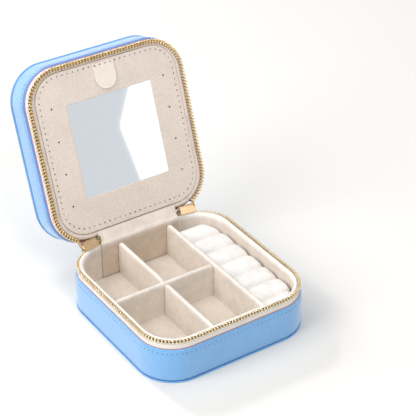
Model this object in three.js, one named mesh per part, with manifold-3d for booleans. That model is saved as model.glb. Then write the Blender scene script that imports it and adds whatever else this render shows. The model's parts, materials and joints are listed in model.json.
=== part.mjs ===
// Travel jewelry case: a square zip-round case with a hinged lid, a mirror flap in the lid and a divided tray.
// Millimetres. Origin at the centre of the underside, +X right, +Y towards the hinge, +Z up.
import * as THREE from 'three';
import { mergeVertices } from 'three/addons/utils/BufferGeometryUtils.js';
import Module from 'manifold-3d';

const wasm = await Module();
wasm.setup();

// ---- driving dimensions ----
const WIDTH = 100;
const DEPTH = 102;
const CORNER = 21.2;
const BASE_RIM = 21.2;          // top edge of the base's leather
const PARTING = 26.5;           // plane where the two rows of teeth meet
const LID_RIM = 31.8;           // lower edge of the lid's leather, case shut
const LID_TOP = 47.8;           // top of the lid's rolled edge, case shut
const LID_CROWN = 49.8;         // top of the padded panel, case shut
const HINGE = { y: DEPTH / 2, z: 27 };
const OPEN_ANGLE = 109.8;       // lid angle of the open case, in degrees
const GAP = 0.3;                // room between touching pieces

const LEATHER = 1;
const BOARD = 1.5;
const LINING = 1.2;
const LIP = 0.7;                // how far the rolled edges stand out
const BULGE = 0.3;              // how far the leather sides swell at half height

const LINING_INSET = 4.6;       // base lining's inner face from the outside, on three sides
const BACK_INSET = 2.3;         // the same at the hinge side
const LINING_TOP = 26.2;
const FLOOR = 3.9;              // upper face of the tray floor
const LID_LINING_INSET = 5.2;   // lid lining's inner face from the outside

const TAPE = { outer: 1.2, inner: 1.8 };
const TEETH = { outer: 0.6, inner: 2.4, height: 1.3 };

const DIVIDER = { thick: 2.4, top: 24.5, corner: 3, longX: 18.3, shortX: -13.8, crossY: 1.3 };
const ROLLS = { count: 6, pitch: 13.3, gap: 0.6, firstBack: 43.8, valley: 16.5, crown: 22.4 };
const STRIP_HALF = 25.3;        // half the width of the cloth and leather hinge strips

const FLAP = { x: 44.4, front: -46.7, back: 44.9, radius: 15.6, face: 27.4 };
const MIRROR = { size: 53.4, y: -1.2, thick: 1.2 };
const EARRING_HOLES = { x: 35.6, firstY: -28.2, pitch: 18.5, count: 4, radius: 0.9 };
const TAB = { half: 6.4, top: -44.6, length: 14, thick: 0.5 };

const SLIDER = { parked: 9.5, spread: 13, plate: 1, tall: 7.4 };
const CROWN = { reach: 1.7, bar: 0.6, half: 2.6, post: 0.9 };
const PULL = { width: 5.2, length: 21, thick: 1.1, eye: 1.7 };

const radians = THREE.MathUtils.degToRad;

// ---- finishes ----
const paint = (color, roughness, metalness = 0) => ({ color, roughness, metalness });
const LEATHER_BLUE = paint(0xa9cdf0, 0.55);
const LEATHER_CREAM = paint(0xe6d9ce, 0.65);
const VELVET = paint(0xe2d6c8, 0.95);
const TAPE_CREAM = paint(0xe9e2dc, 0.85);
const GREYBOARD = paint(0xb9aa95, 0.9);
const FOAM = paint(0xf2efe6, 0.95);
const BRASS = paint(0xcda25c, 0.3, 1);
const GOLD = paint(0xe8c48c, 0.25, 1);
const GLASS = paint(0xdfe5ea, 0.05, 1);

// ---- outlines: rounded rectangles seen from above ----
const CASE = { x: WIDTH / 2, front: -DEPTH / 2, back: DEPTH / 2, frontRadius: CORNER, backRadius: CORNER };

function shrink(outline, by) {
  return {
    x: outline.x - by,
    front: outline.front + by,
    back: outline.back - by,
    frontRadius: Math.max(outline.frontRadius - by, 0.4),
    backRadius: Math.max(outline.backRadius - by, 0.4),
  };
}

const BASE_INSIDE = {
  x: WIDTH / 2 - LINING_INSET,
  front: -DEPTH / 2 + LINING_INSET,
  back: DEPTH / 2 - BACK_INSET,
  frontRadius: CORNER - LINING_INSET,
  backRadius: CORNER,
};
const LID_INSIDE = {
  x: WIDTH / 2 - LID_LINING_INSET,
  front: FLAP.front - GAP - 0.1,
  back: FLAP.back + 2 * GAP,
  frontRadius: FLAP.radius + GAP,
  backRadius: FLAP.radius + GAP,
};

const CORNER_STEPS = 6;

// Points round an outline, anticlockwise from the right-hand end of the back edge.
function ringPoints(outline) {
  const corners = [
    [outline.x - outline.backRadius, outline.back - outline.backRadius, outline.backRadius, 0],
    [-outline.x + outline.backRadius, outline.back - outline.backRadius, outline.backRadius, 90],
    [-outline.x + outline.frontRadius, outline.front + outline.frontRadius, outline.frontRadius, 180],
    [outline.x - outline.frontRadius, outline.front + outline.frontRadius, outline.frontRadius, 270],
  ];
  const points = [];
  for (const [cx, cy, radius, start] of corners) {
    for (let i = 0; i <= CORNER_STEPS; i += 1) {
      const turn = radians(start + (90 * i) / CORNER_STEPS);
      points.push(new THREE.Vector2(cx + radius * Math.cos(turn), cy + radius * Math.sin(turn)));
    }
  }
  return points;
}

// ---- solids ----

// Skins a row of equal closed sections. A looped row closes on itself, and an open one gets end caps.
function skin(sections, looped) {
  const size = sections[0].length;
  const points = sections.flat();
  const index = [];
  const spans = looped ? sections.length : sections.length - 1;
  for (let i = 0; i < spans; i += 1) {
    const here = i * size;
    const next = ((i + 1) % sections.length) * size;
    for (let j = 0; j < size; j += 1) {
      const k = (j + 1) % size;
      index.push(here + j, here + k, next + k, here + j, next + k, next + j);
    }
  }
  if (!looped) {
    for (const [start, reversed] of [[0, true], [(sections.length - 1) * size, false]]) {
      const centre = new THREE.Vector3();
      for (let j = 0; j < size; j += 1) {
        centre.addScaledVector(points[start + j], 1 / size);
      }
      points.push(centre);
      for (let j = 0; j < size; j += 1) {
        const pair = [start + j, start + ((j + 1) % size)];
        index.push(points.length - 1, ...(reversed ? pair.reverse() : pair));
      }
    }
  }
  let volume = 0;
  for (let i = 0; i < index.length; i += 3) {
    const [a, b, c] = [points[index[i]], points[index[i + 1]], points[index[i + 2]]];
    volume += a.dot(b.clone().cross(c));
  }
  if (volume < 0) {
    index.reverse();
  }
  const geometry = new THREE.BufferGeometry();
  geometry.setAttribute('position', new THREE.Float32BufferAttribute(points.flatMap((p) => p.toArray()), 3));
  geometry.setIndex(index);
  return geometry;
}

const level = (outline, z) => ringPoints(outline).map((p) => new THREE.Vector3(p.x, p.y, z));

// A plate whose edge follows steps of [inset, z], from its underside to its top.
const plate = (outline, steps) => skin(steps.map(([inset, z]) => level(shrink(outline, inset), z)), false);

// A wall between two outlines, with its top (or bottom) edge rounded over.
function wall(outer, inner, low, high, round = 0) {
  const middle = (a, b, t) => ({
    x: a.x + (b.x - a.x) * t,
    front: a.front + (b.front - a.front) * t,
    back: a.back + (b.back - a.back) * t,
    frontRadius: a.frontRadius + (b.frontRadius - a.frontRadius) * t,
    backRadius: a.backRadius + (b.backRadius - a.backRadius) * t,
  });
  const edge = round > 0 ? high : low;
  const drop = Math.abs(round);
  const towards = Math.sign(round);
  const over = [[0, drop], [0.15, drop * 0.4], [0.5, 0], [0.85, drop * 0.4], [1, drop]];
  const rounded = over.map(([t, d]) => level(middle(outer, inner, t), edge - towards * d));
  if (round === 0) {
    return skin([level(outer, low), level(outer, high), level(inner, high), level(inner, low)], true);
  }
  const far = round > 0 ? low : high;
  return skin([level(outer, far), ...rounded, level(inner, far)], true);
}

// Stations along the zip: round the case from one back corner, by the front, to the other.
function zipStations(startAngle) {
  const stations = [];
  const cx = WIDTH / 2 - CORNER;
  const back = DEPTH / 2 - CORNER;
  const arcs = [
    [-cx, back, 90 + startAngle, 180],
    [-cx, -back, 180, 270],
    [cx, -back, 270, 360],
    [cx, back, 0, 90 - startAngle],
  ];
  for (const [x, y, from, to] of arcs) {
    for (let i = 0; i <= CORNER_STEPS; i += 1) {
      const turn = radians(from + ((to - from) * i) / CORNER_STEPS);
      stations.push({ x, y, cos: Math.cos(turn), sin: Math.sin(turn) });
    }
  }
  return stations;
}

// A strip of even section that follows the zip line. Its section is a list of [inset, z].
function zipStrip(startAngle, section) {
  return skin(
    zipStations(startAngle).map((s) => section.map(([inset, z]) => {
      const reach = CORNER - inset;
      return new THREE.Vector3(s.x + reach * s.cos, s.y + reach * s.sin, z);
    })),
    false,
  );
}

const rectangle = (outer, inner, low, high) => [[outer, low], [outer, high], [inner, high], [inner, low]];

function box(x0, x1, y0, y1, z0, z1) {
  const geometry = new THREE.BoxGeometry(x1 - x0, y1 - y0, z1 - z0);
  return geometry.translate((x0 + x1) / 2, (y0 + y1) / 2, (z0 + z1) / 2);
}

function roundedShape(x0, x1, y0, y1, radii) {
  const [r00, r10, r11, r01] = radii;
  const shape = new THREE.Shape();
  shape.moveTo(x0 + r00, y0);
  shape.lineTo(x1 - r10, y0);
  shape.absarc(x1 - r10, y0 + r10, r10, -Math.PI / 2, 0, false);
  shape.absarc(x1 - r11, y1 - r11, r11, 0, Math.PI / 2, false);
  shape.absarc(x0 + r01, y1 - r01, r01, Math.PI / 2, Math.PI, false);
  shape.absarc(x0 + r00, y0 + r00, r00, Math.PI, Math.PI * 1.5, false);
  return shape;
}

const extrude = (shape, depth, curveSegments = 4) =>
  new THREE.ExtrudeGeometry(shape, { depth, bevelEnabled: false, curveSegments, steps: 1 });

// A shape drawn in Y and Z, carried along X; and one drawn in X and Z, carried along Y.
const alongX = (shape, from, to, curveSegments) =>
  extrude(shape, to - from, curveSegments).rotateX(Math.PI / 2).rotateZ(Math.PI / 2).translate(from, 0, 0);
const alongY = (shape, from, to, curveSegments) =>
  extrude(shape, to - from, curveSegments).rotateX(Math.PI / 2).translate(0, to, 0);

// ---- booleans ----
function toSolid(geometry) {
  const bare = geometry.clone();
  bare.deleteAttribute('normal');
  bare.deleteAttribute('uv');
  const merged = mergeVertices(bare, 1e-4);
  return new wasm.Manifold(new wasm.Mesh({
    numProp: 3,
    vertProperties: new Float32Array(merged.attributes.position.array),
    triVerts: new Uint32Array(merged.index.array),
  }));
}

function fromSolid(solid) {
  const mesh = solid.getMesh();
  const geometry = new THREE.BufferGeometry();
  geometry.setAttribute('position', new THREE.Float32BufferAttribute(mesh.vertProperties, 3));
  geometry.setIndex(new THREE.BufferAttribute(mesh.triVerts, 1));
  return geometry;
}

const join = (...parts) => fromSolid(parts.map(toSolid).reduce((a, b) => a.add(b)));
const common = (a, b) => fromSolid(toSolid(a).intersect(toSolid(b)));

// ---- scene graph ----
const travelCase = new THREE.Group();
const lid = new THREE.Group();
lid.position.set(0, HINGE.y, HINGE.z);
lid.rotation.x = radians(-OPEN_ANGLE);
const lidShut = new THREE.Group();      // pieces of the lid are drawn where they are when the case is shut
lidShut.position.set(0, -HINGE.y, -HINGE.z);
lid.add(lidShut);
travelCase.add(lid);

function piece(name, geometry, finish, parent = travelCase) {
  const mesh = new THREE.Mesh(geometry, new THREE.MeshStandardMaterial(finish));
  mesh.name = name;
  parent.add(mesh);
  return mesh;
}

// ---- base shell ----
function leatherWall(low, high) {
  const inner = shrink(CASE, LEATHER);
  const sixth = (high - low) / 6;
  return skin([
    level(shrink(CASE, BULGE), low),
    level(shrink(CASE, BULGE / 4), low + sixth),
    level(CASE, low + 3 * sixth),
    level(shrink(CASE, BULGE / 4), high - sixth),
    level(shrink(CASE, BULGE), high),
    level(inner, high),
    level(inner, low),
  ], true);
}

const liningOuter = shrink(BASE_INSIDE, -LINING);
const PANEL = LEATHER - 0.1;            // the rolled bottom panel's thickness
const SHELL_LOW = PANEL + GAP;
const BOARD_TOP = 2.6;
const SIDE_BOARD_START = 38;            // the base's stiffener stops short of the hinge side

piece('base_bottom_cover', plate(CASE, [[-LIP + 0.3, 0], [-LIP, 0.3], [-LIP, PANEL]]), LEATHER_BLUE);
piece('base_bottom_board', plate(liningOuter, [[0, SHELL_LOW], [0, BOARD_TOP]]), GREYBOARD);
piece('base_side_cover', leatherWall(SHELL_LOW, BASE_RIM), LEATHER_BLUE);
piece(
  'base_side_board',
  zipStrip(SIDE_BOARD_START, rectangle(LEATHER + GAP, LEATHER + GAP + BOARD, SHELL_LOW, BASE_RIM - 0.2)),
  GREYBOARD,
);
piece('base_lining_wall', wall(liningOuter, BASE_INSIDE, BOARD_TOP + GAP, LINING_TOP, 0.7), VELVET);
piece('base_floor_lining', plate(shrink(BASE_INSIDE, GAP), [[0, BOARD_TOP + GAP], [0, FLOOR]]), VELVET);

// ---- zip, base half ----
const BASE_ZIP_START = 12;              // degrees round the back corner
const teethTop = PARTING - 0.2;
const teethLow = teethTop - TEETH.height;
piece(
  'base_zip_tape',
  zipStrip(BASE_ZIP_START, rectangle(TAPE.outer, TAPE.inner, BASE_RIM + GAP, teethLow - GAP)),
  TAPE_CREAM,
);
piece('base_zip_teeth', zipStrip(BASE_ZIP_START, rectangle(TEETH.outer, TEETH.inner, teethLow, teethTop)), BRASS);
for (const [side, sign] of [['left', -1], ['right', 1]]) {
  const x = [sign * (STRIP_HALF + 0.4), sign * (STRIP_HALF + 1.9)].sort((a, b) => a - b);
  piece(`zip_end_${side}`, box(x[0], x[1], HINGE.y - 0.8, HINGE.y + 0.4, PARTING - 1.5, PARTING + 2), BRASS);
}

// ---- tray dividers ----
const TRAY_LOW = FLOOR + GAP;
const half = DIVIDER.thick / 2;
const trayFront = BASE_INSIDE.front + GAP;
const trayBack = BASE_INSIDE.back - 2 * GAP - 0.4;      // clear of the cloth strip down the back wall
const trayLeft = -BASE_INSIDE.x + GAP;

// A divider stands along Y from 0 to its length: its free top corners and its top edge are rounded.
function divider(length) {
  const tall = DIVIDER.top - TRAY_LOW;
  const profile = new THREE.Shape();
  profile.moveTo(-half, 0);
  profile.lineTo(half, 0);
  profile.lineTo(half, tall - half);
  profile.absarc(0, tall - half, half, 0, Math.PI, false);
  const sideView = roundedShape(0, length, 0, tall, [0.4, 0.4, DIVIDER.corner, DIVIDER.corner]);
  return common(alongY(profile, 0, length, 3), alongX(sideView, -half - 1, half + 1, 4));
}

function dividerAlongY(name, x, front, back) {
  piece(name, divider(back - front), VELVET).position.set(x, front, TRAY_LOW);
}

function dividerAlongX(name, y, left, right) {
  const mesh = piece(name, divider(right - left), VELVET);
  mesh.rotation.z = -Math.PI / 2;
  mesh.position.set(left, y, TRAY_LOW);
}

const crossBack = DIVIDER.crossY + half + GAP;
const crossFront = DIVIDER.crossY - half - GAP;
dividerAlongY('divider_long', DIVIDER.longX, trayFront, trayBack);
dividerAlongX('divider_cross', DIVIDER.crossY, trayLeft, DIVIDER.longX - half - GAP);
dividerAlongY('divider_back', DIVIDER.shortX, crossBack, trayBack);
dividerAlongY('divider_front', DIVIDER.shortX, trayFront, crossFront);

// ---- ring holder: soft rolls side by side on a board, with a slot between each two ----
const ringLeft = DIVIDER.longX + half + GAP;
const ringRight = BASE_INSIDE.x + 2;    // trimmed to the lining
const ringArea = plate(shrink(BASE_INSIDE, 2 * GAP), [[0, TRAY_LOW], [0, PARTING]]);
const RING_BOARD_TOP = TRAY_LOW + 2;
const rollLow = RING_BOARD_TOP + GAP;

function ringFill(front, back, low, high) {
  return common(box(ringLeft, ringRight, front, back, low, high), ringArea);
}

function roll(front, back) {
  const shape = new THREE.Shape();
  const centre = (front + back) / 2;
  shape.moveTo(front, rollLow);
  shape.lineTo(back, rollLow);
  shape.lineTo(back, ROLLS.valley);
  shape.quadraticCurveTo(back, ROLLS.crown, centre, ROLLS.crown);
  shape.quadraticCurveTo(front, ROLLS.crown, front, ROLLS.valley);
  return common(alongX(shape, ringLeft, ringRight, 5), ringArea);
}

piece('ring_board', ringFill(trayFront, trayBack - GAP, TRAY_LOW, RING_BOARD_TOP), GREYBOARD);
piece('ring_back_block', ringFill(ROLLS.firstBack, trayBack - GAP, rollLow, ROLLS.valley + 3), VELVET);
for (let i = 0; i < ROLLS.count; i += 1) {
  const back = ROLLS.firstBack - i * ROLLS.pitch - ROLLS.gap;
  piece(`ring_roll_${i + 1}`, roll(back - ROLLS.pitch + ROLLS.gap, back), VELVET);
}
const rollsFront = ROLLS.firstBack - ROLLS.count * ROLLS.pitch - ROLLS.gap;
piece('ring_front_block', ringFill(trayFront, rollsFront, rollLow, ROLLS.valley + 4), VELVET);

// ---- hinge strips: leather outside and cloth inside, drawn as they lie in the open case ----
// Both end beside a point of the lid that is drawn shut and turned with it.
function opened(y, z) {
  const turned = new THREE.Vector2(y - HINGE.y, z - HINGE.z).rotateAround(new THREE.Vector2(), radians(-OPEN_ANGLE));
  return [turned.x + HINGE.y, turned.y + HINGE.z];
}

// A strip across the hinge, of a given thickness, along a line of [y, z] points.
function hingeStrip(line, thick) {
  const points = line.map(([y, z]) => new THREE.Vector2(y, z));
  const sections = points.map((p, i) => {
    const along = points[Math.min(i + 1, points.length - 1)].clone().sub(points[Math.max(i - 1, 0)]).normalize();
    const side = new THREE.Vector2(-along.y, along.x).multiplyScalar(thick / 2);
    const corners = [[-STRIP_HALF, 1], [STRIP_HALF, 1], [STRIP_HALF, -1], [-STRIP_HALF, -1]];
    return corners.map(([x, s]) => new THREE.Vector3(x, p.x + s * side.x, p.y + s * side.y));
  });
  return skin(sections, false);
}

const coverEnd = opened(HINGE.y - LEATHER / 2, LID_RIM - 2 * GAP);
piece('hinge_cover', hingeStrip([
  [HINGE.y - LEATHER / 2, BASE_RIM + 1.5 * GAP],
  [HINGE.y - LEATHER / 2 + 0.3, BASE_RIM + 1.6],
  [HINGE.y + 1.6, BASE_RIM + 3.4],
  coverEnd,
], 0.8), LEATHER_BLUE);

const liningEnd = opened(LID_INSIDE.back + 0.5, PARTING + 0.3);
piece('hinge_lining', hingeStrip([
  [BASE_INSIDE.back - 2 * GAP, TRAY_LOW],
  [BASE_INSIDE.back - 2 * GAP, LINING_TOP - 1.2],
  [BASE_INSIDE.back - 0.1, LINING_TOP + 0.5],
  [BASE_INSIDE.back + 1.2, LINING_TOP + 1.6],
  liningEnd,
], 0.4), VELVET);

// ---- lid shell ----
const lidLiningOuter = shrink(LID_INSIDE, -1);
const LID_SHELL_TOP = LID_TOP - 1.2;
const lidBoardTop = LID_SHELL_TOP - 0.6;
const lidBoardLow = lidBoardTop - 1.2;

piece('lid_side_cover', leatherWall(LID_RIM, LID_SHELL_TOP), LEATHER_BLUE, lidShut);
piece(
  'lid_side_board',
  wall(shrink(CASE, LEATHER + GAP), shrink(CASE, LEATHER + GAP + BOARD), LID_RIM + 0.2, LID_SHELL_TOP),
  GREYBOARD,
  lidShut,
);
const domeEdge = LID_SHELL_TOP + GAP;
piece('lid_top_cover', plate(CASE, [
  [44, LID_CROWN - 1.2],
  [25, LID_CROWN - 1.3],
  [12, LID_CROWN - 1.8],
  [4, domeEdge + 0.2],
  [3, domeEdge],
  [-LIP, domeEdge],
  [-LIP, LID_TOP],
  [2.5, LID_TOP + 0.5],
  [12, LID_CROWN - 0.6],
  [25, LID_CROWN - 0.1],
  [44, LID_CROWN],
]), LEATHER_BLUE, lidShut);
piece('lid_padding', plate(CASE, [
  [4.4, lidBoardTop + GAP],
  [4.4, domeEdge - 0.2],
  [12, LID_CROWN - 2.2],
  [25, LID_CROWN - 1.7],
  [44, LID_CROWN - 1.6],
]), FOAM, lidShut);
piece('lid_top_board', plate(shrink(CASE, 3.2), [[0, lidBoardLow], [0, lidBoardTop]]), GREYBOARD, lidShut);
piece(
  'lid_lining_wall',
  wall(lidLiningOuter, LID_INSIDE, PARTING + 1, lidBoardLow - GAP, -0.5),
  VELVET,
  lidShut,
);
const LID_LINING_LOW = lidBoardLow - GAP - 1;
piece(
  'lid_back_lining',
  plate(shrink(LID_INSIDE, GAP), [[0, LID_LINING_LOW], [0, lidBoardLow - GAP]]),
  VELVET,
  lidShut,
);

// ---- zip, lid half: it starts past the parked sliders ----
const LID_ZIP_START = SLIDER.parked + SLIDER.spread + 3;
const lidTeethLow = PARTING + 0.2;
const lidTeethTop = lidTeethLow + TEETH.height;
piece(
  'lid_zip_tape',
  zipStrip(LID_ZIP_START, rectangle(TAPE.outer, TAPE.inner, lidTeethTop + GAP, LID_RIM - GAP)),
  TAPE_CREAM,
  lidShut,
);
piece(
  'lid_zip_teeth',
  zipStrip(LID_ZIP_START, rectangle(TEETH.outer, TEETH.inner, lidTeethLow, lidTeethTop)),
  BRASS,
  lidShut,
);

// ---- mirror flap, shut in the lid ----
function flapSheet(name, inset, low, thick, window, finish) {
  const r = FLAP.radius - inset;
  const shape = roundedShape(-FLAP.x + inset, FLAP.x - inset, FLAP.front + inset, FLAP.back - inset, [r, r, r, r]);
  if (window > 0) {
    const side = window / 2;
    const corner = 1.5;
    const opening = roundedShape(-side, side, MIRROR.y - side, MIRROR.y + side, Array(4).fill(corner));
    shape.holes.push(new THREE.Path(opening.getPoints(2)));
  }
  for (const sign of [-1, 1]) {
    for (let i = 0; i < EARRING_HOLES.count; i += 1) {
      const hole = new THREE.Path();
      const y = EARRING_HOLES.firstY + i * EARRING_HOLES.pitch;
      hole.absarc(sign * EARRING_HOLES.x, y, EARRING_HOLES.radius, 0, Math.PI * 2, true);
      shape.holes.push(new THREE.Path(hole.getPoints(2).slice(0, -1)));
    }
  }
  return piece(name, extrude(shape, thick, 4).translate(0, 0, low), finish, lidShut);
}

const COVER_THICK = 0.6;
const FLAP_BOARD = 1.2;
const boardLow = FLAP.face + COVER_THICK + GAP;
const flapBackLow = boardLow + FLAP_BOARD + GAP;
flapSheet('flap_cover', 0, FLAP.face, COVER_THICK, MIRROR.size + 2 * GAP, LEATHER_CREAM);
flapSheet('flap_board', 0.3, boardLow, FLAP_BOARD, MIRROR.size + 2 * GAP, GREYBOARD);
flapSheet('flap_back', 0, flapBackLow, COVER_THICK, 0, VELVET);
const mirrorHalf = MIRROR.size / 2;
const mirrorShape = roundedShape(
  -mirrorHalf,
  mirrorHalf,
  MIRROR.y - mirrorHalf,
  MIRROR.y + mirrorHalf,
  Array(4).fill(1.2),
);
piece('flap_mirror', extrude(mirrorShape, MIRROR.thick, 2).translate(0, 0, FLAP.face + 0.2), GLASS, lidShut);

const tabShape = new THREE.Shape();
tabShape.moveTo(-TAB.half, TAB.top);
tabShape.lineTo(TAB.half, TAB.top);
tabShape.lineTo(TAB.half, TAB.top + TAB.length - TAB.half);
tabShape.absarc(0, TAB.top + TAB.length - TAB.half, TAB.half, 0, Math.PI, false);
piece('flap_pull_tab', extrude(tabShape, TAB.thick, 6).translate(0, 0, FLAP.face - GAP - TAB.thick), LEATHER_CREAM, lidShut);
piece(
  'flap_hinge_strip',
  box(-28, 28, FLAP.back + 0.15, FLAP.back + 0.45, FLAP.face + 0.4, flapBackLow),
  VELVET,
  lidShut,
);

// ---- sliders and pulls, parked at the back corners ----
// A curved plate that follows the zip line between two insets, spread either way of the slider's middle.
function sliderPlate(outer, inner, low, high, spread) {
  const sections = [];
  const steps = 4;
  for (let i = 0; i <= steps; i += 1) {
    const turn = radians(90 - spread + (2 * spread * i) / steps);
    const taper = 1 - 0.28 * Math.abs(i - steps / 2);
    const corner = ((high - low) / 2) * (1 - Math.max(taper, 0.6)) * 0.6;
    const section = rectangle(outer, inner, low + corner, high - corner);
    sections.push(section.map(([inset, z]) => {
      const reach = CORNER - inset;
      return new THREE.Vector3(reach * Math.cos(turn), reach * Math.sin(turn), z);
    }));
  }
  return skin(sections, false);
}

// Drawn with the zip line's corner centre as origin and the slider's middle on +Y.
function sliderBody() {
  const outerFace = -0.2 - SLIDER.plate;
  const barInset = outerFace - CROWN.reach;
  const outer = sliderPlate(outerFace, -0.2, PARTING - SLIDER.tall / 2, PARTING + SLIDER.tall / 2, SLIDER.spread);
  const inner = sliderPlate(2.9, 3.7, PARTING + 0.1, PARTING + 2.9, SLIDER.spread * 0.8);
  const wedge = box(-1.2, 1.2, CORNER - 3.2, CORNER + 0.7, PARTING + 0.1, PARTING + 1.6);
  const parts = [outer, inner, wedge];
  for (const sign of [-1, 1]) {
    const x = sign * CROWN.half;
    const near = CORNER - outerFace - 0.5;
    const far = CORNER - barInset + CROWN.bar;
    const low = PARTING - CROWN.bar;
    parts.push(box(x - CROWN.post / 2, x + CROWN.post / 2, near, far, low, low + 2 * CROWN.bar));
  }
  const bar = new THREE.CylinderGeometry(CROWN.bar, CROWN.bar, 2 * CROWN.half, 8);
  bar.rotateZ(Math.PI / 2);
  bar.translate(0, CORNER - barInset, PARTING);
  parts.push(bar);
  return join(...parts);
}

// Drawn with the crown bar's middle as origin, hanging down: a barrel eye, a flat tongue, a hole and a slot.
function pullTab() {
  const eyeHalf = CROWN.half - CROWN.post / 2 - GAP;
  const ring = new THREE.Shape();
  ring.absarc(0, 0, PULL.eye, 0, Math.PI * 2, false);
  const bore = new THREE.Path();
  bore.absarc(0, 0, CROWN.bar + 0.35, 0, Math.PI * 2, true);
  ring.holes.push(bore);
  const eye = alongX(ring, -eyeHalf, eyeHalf, 5);
  const w = PULL.width / 2;
  const top = -PULL.eye + 0.4;
  const neck = eyeHalf;
  const tongue = new THREE.Shape();
  tongue.moveTo(-neck, top);
  tongue.lineTo(-w * 0.85, top - 2.2);
  tongue.lineTo(-w, -PULL.length + 1.5);
  tongue.absarc(-w + 1.5, -PULL.length + 1.5, 1.5, Math.PI, Math.PI * 1.5, false);
  tongue.absarc(w - 1.5, -PULL.length + 1.5, 1.5, Math.PI * 1.5, Math.PI * 2, false);
  tongue.lineTo(w * 0.85, top - 2.2);
  tongue.lineTo(neck, top);
  const hole = new THREE.Path();
  hole.absarc(0, top - 2.4, 1, 0, Math.PI * 2, true);
  tongue.holes.push(hole);
  const slot = roundedShape(-w + 1.2, w - 1.2, -PULL.length + 1.4, -PULL.length + 5.6, Array(4).fill(0.3));
  tongue.holes.push(new THREE.Path(slot.getPoints(1)));
  return join(eye, alongY(tongue, -PULL.thick / 2, PULL.thick / 2, 3));
}

const barReach = CORNER + 0.2 + SLIDER.plate + CROWN.reach;
for (const [side, sign] of [['left', 1], ['right', -1]]) {
  const carriage = new THREE.Group();
  carriage.position.set(-sign * (WIDTH / 2 - CORNER), DEPTH / 2 - CORNER, 0);
  carriage.rotation.z = radians(sign * SLIDER.parked);
  travelCase.add(carriage);
  piece(`slider_${side}`, sliderBody(), GOLD, carriage);
  const pull = piece(`pull_${side}`, pullTab(), GOLD, carriage);
  pull.position.set(0, barReach, PARTING);
}

export default travelCase;
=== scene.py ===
"""Travel jewelry case: its looks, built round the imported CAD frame. Metres, +Z up, hinge side towards +Y."""
import json
import math
import random
from dataclasses import astuple, dataclass, replace

import bmesh
import bpy
import numpy as np
from mathutils import Matrix, Vector, noise

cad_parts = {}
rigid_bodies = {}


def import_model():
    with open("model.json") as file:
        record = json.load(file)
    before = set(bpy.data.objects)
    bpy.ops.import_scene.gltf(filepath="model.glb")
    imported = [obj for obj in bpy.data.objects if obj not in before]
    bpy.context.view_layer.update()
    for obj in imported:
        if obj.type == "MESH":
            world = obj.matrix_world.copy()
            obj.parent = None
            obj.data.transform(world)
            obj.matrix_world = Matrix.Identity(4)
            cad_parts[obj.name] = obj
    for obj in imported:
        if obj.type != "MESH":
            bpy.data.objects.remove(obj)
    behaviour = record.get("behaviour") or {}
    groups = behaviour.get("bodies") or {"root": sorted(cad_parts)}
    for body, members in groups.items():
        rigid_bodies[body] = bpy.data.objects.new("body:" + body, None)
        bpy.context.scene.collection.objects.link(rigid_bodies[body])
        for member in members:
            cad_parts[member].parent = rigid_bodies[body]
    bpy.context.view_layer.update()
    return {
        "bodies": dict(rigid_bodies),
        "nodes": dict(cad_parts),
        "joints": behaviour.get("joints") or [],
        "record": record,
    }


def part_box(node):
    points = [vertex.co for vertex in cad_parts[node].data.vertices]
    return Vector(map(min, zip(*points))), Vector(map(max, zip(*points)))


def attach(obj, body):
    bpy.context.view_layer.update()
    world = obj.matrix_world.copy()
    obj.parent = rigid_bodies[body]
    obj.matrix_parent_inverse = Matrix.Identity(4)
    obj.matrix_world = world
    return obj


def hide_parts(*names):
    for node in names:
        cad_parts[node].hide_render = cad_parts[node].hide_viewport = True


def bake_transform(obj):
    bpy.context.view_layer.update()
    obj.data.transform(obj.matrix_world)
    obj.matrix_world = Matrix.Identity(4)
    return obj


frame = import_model()
random.seed(7)

MM = 0.001

# ---- sizes that the frame doesn't name
CORNER = 21.2 * MM           # outer corner radius of the case, seen from above
LINING_CORNER = 16.6 * MM
BACK_LINING_CORNER = 21.0 * MM
LEATHER = 1.0 * MM
BULGE = 0.3 * MM             # how far the leather sides swell at half height
LIP = {"base": 0.1 * MM, "lid": 0.4 * MM}   # how far the rolled panels stand out
ROLL_OVER = {"in": 0.95 * MM, "along": 2.0 * MM}   # the leather turns in towards the zip
LEATHER_RIPPLE = (0.09 * MM, 16 * MM)       # how deep and how long
SEAM_FROM_RIM = 2.7 * MM     # stitch row under each leather rim
SEAM_DIP = 0.12 * MM
CHANNEL = 2.9 * MM           # the sewn channel's distance from the edge of the padded top
STITCH = {"pitch": 2.6 * MM, "length": 1.7 * MM, "radius": 0.2 * MM}
PARTING = 26.5 * MM          # where the two rows of teeth meet, case shut
TOOTH_PITCH = 1.85 * MM
ZIP_LINE = 1.5 * MM          # inset of the middle of the teeth
BASE_ZIP_START = 12.0        # degrees round the back corner where the base's teeth start
LID_ZIP_START = 25.5
CORD_FROM_PARTING = 0.75 * MM
SLIDER_LEAN = math.radians(47)   # the sliders' inner plates lean back
CORNER_STEPS = 18
EDGE_STEPS = 10
CLOTH_FRAMES = 20
STEP = 0.1 * MM              # how far to either side a line's direction is measured
UP = Vector((0, 0, 1))


# ---- the lid, drawn shut and then opened
joints = {j["name"]: j for j in frame["joints"]}
hinge = Vector(joints["lid_hinge"]["pos_m"])
open_turn = math.radians(joints["lid_hinge"]["range_deg"][0])
OPENED = Matrix.Translation(hinge) @ Matrix.Rotation(open_turn, 4, "X") @ Matrix.Translation(-hinge)


def drawn_box(body, node):
    """Lowest and highest corner of a node of the base or of the shut lid."""
    return shut_box(node) if body == "lid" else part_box(node)


def shut_box(node):
    """Lowest and highest corner of a lid node with the case shut."""
    back = np.array(OPENED.inverted(), float)
    co = np.array([v.co for v in frame["nodes"][node].data.vertices], float)
    co = co @ back[:3, :3].T + back[:3, 3]
    return Vector(co.min(0)), Vector(co.max(0))


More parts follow.
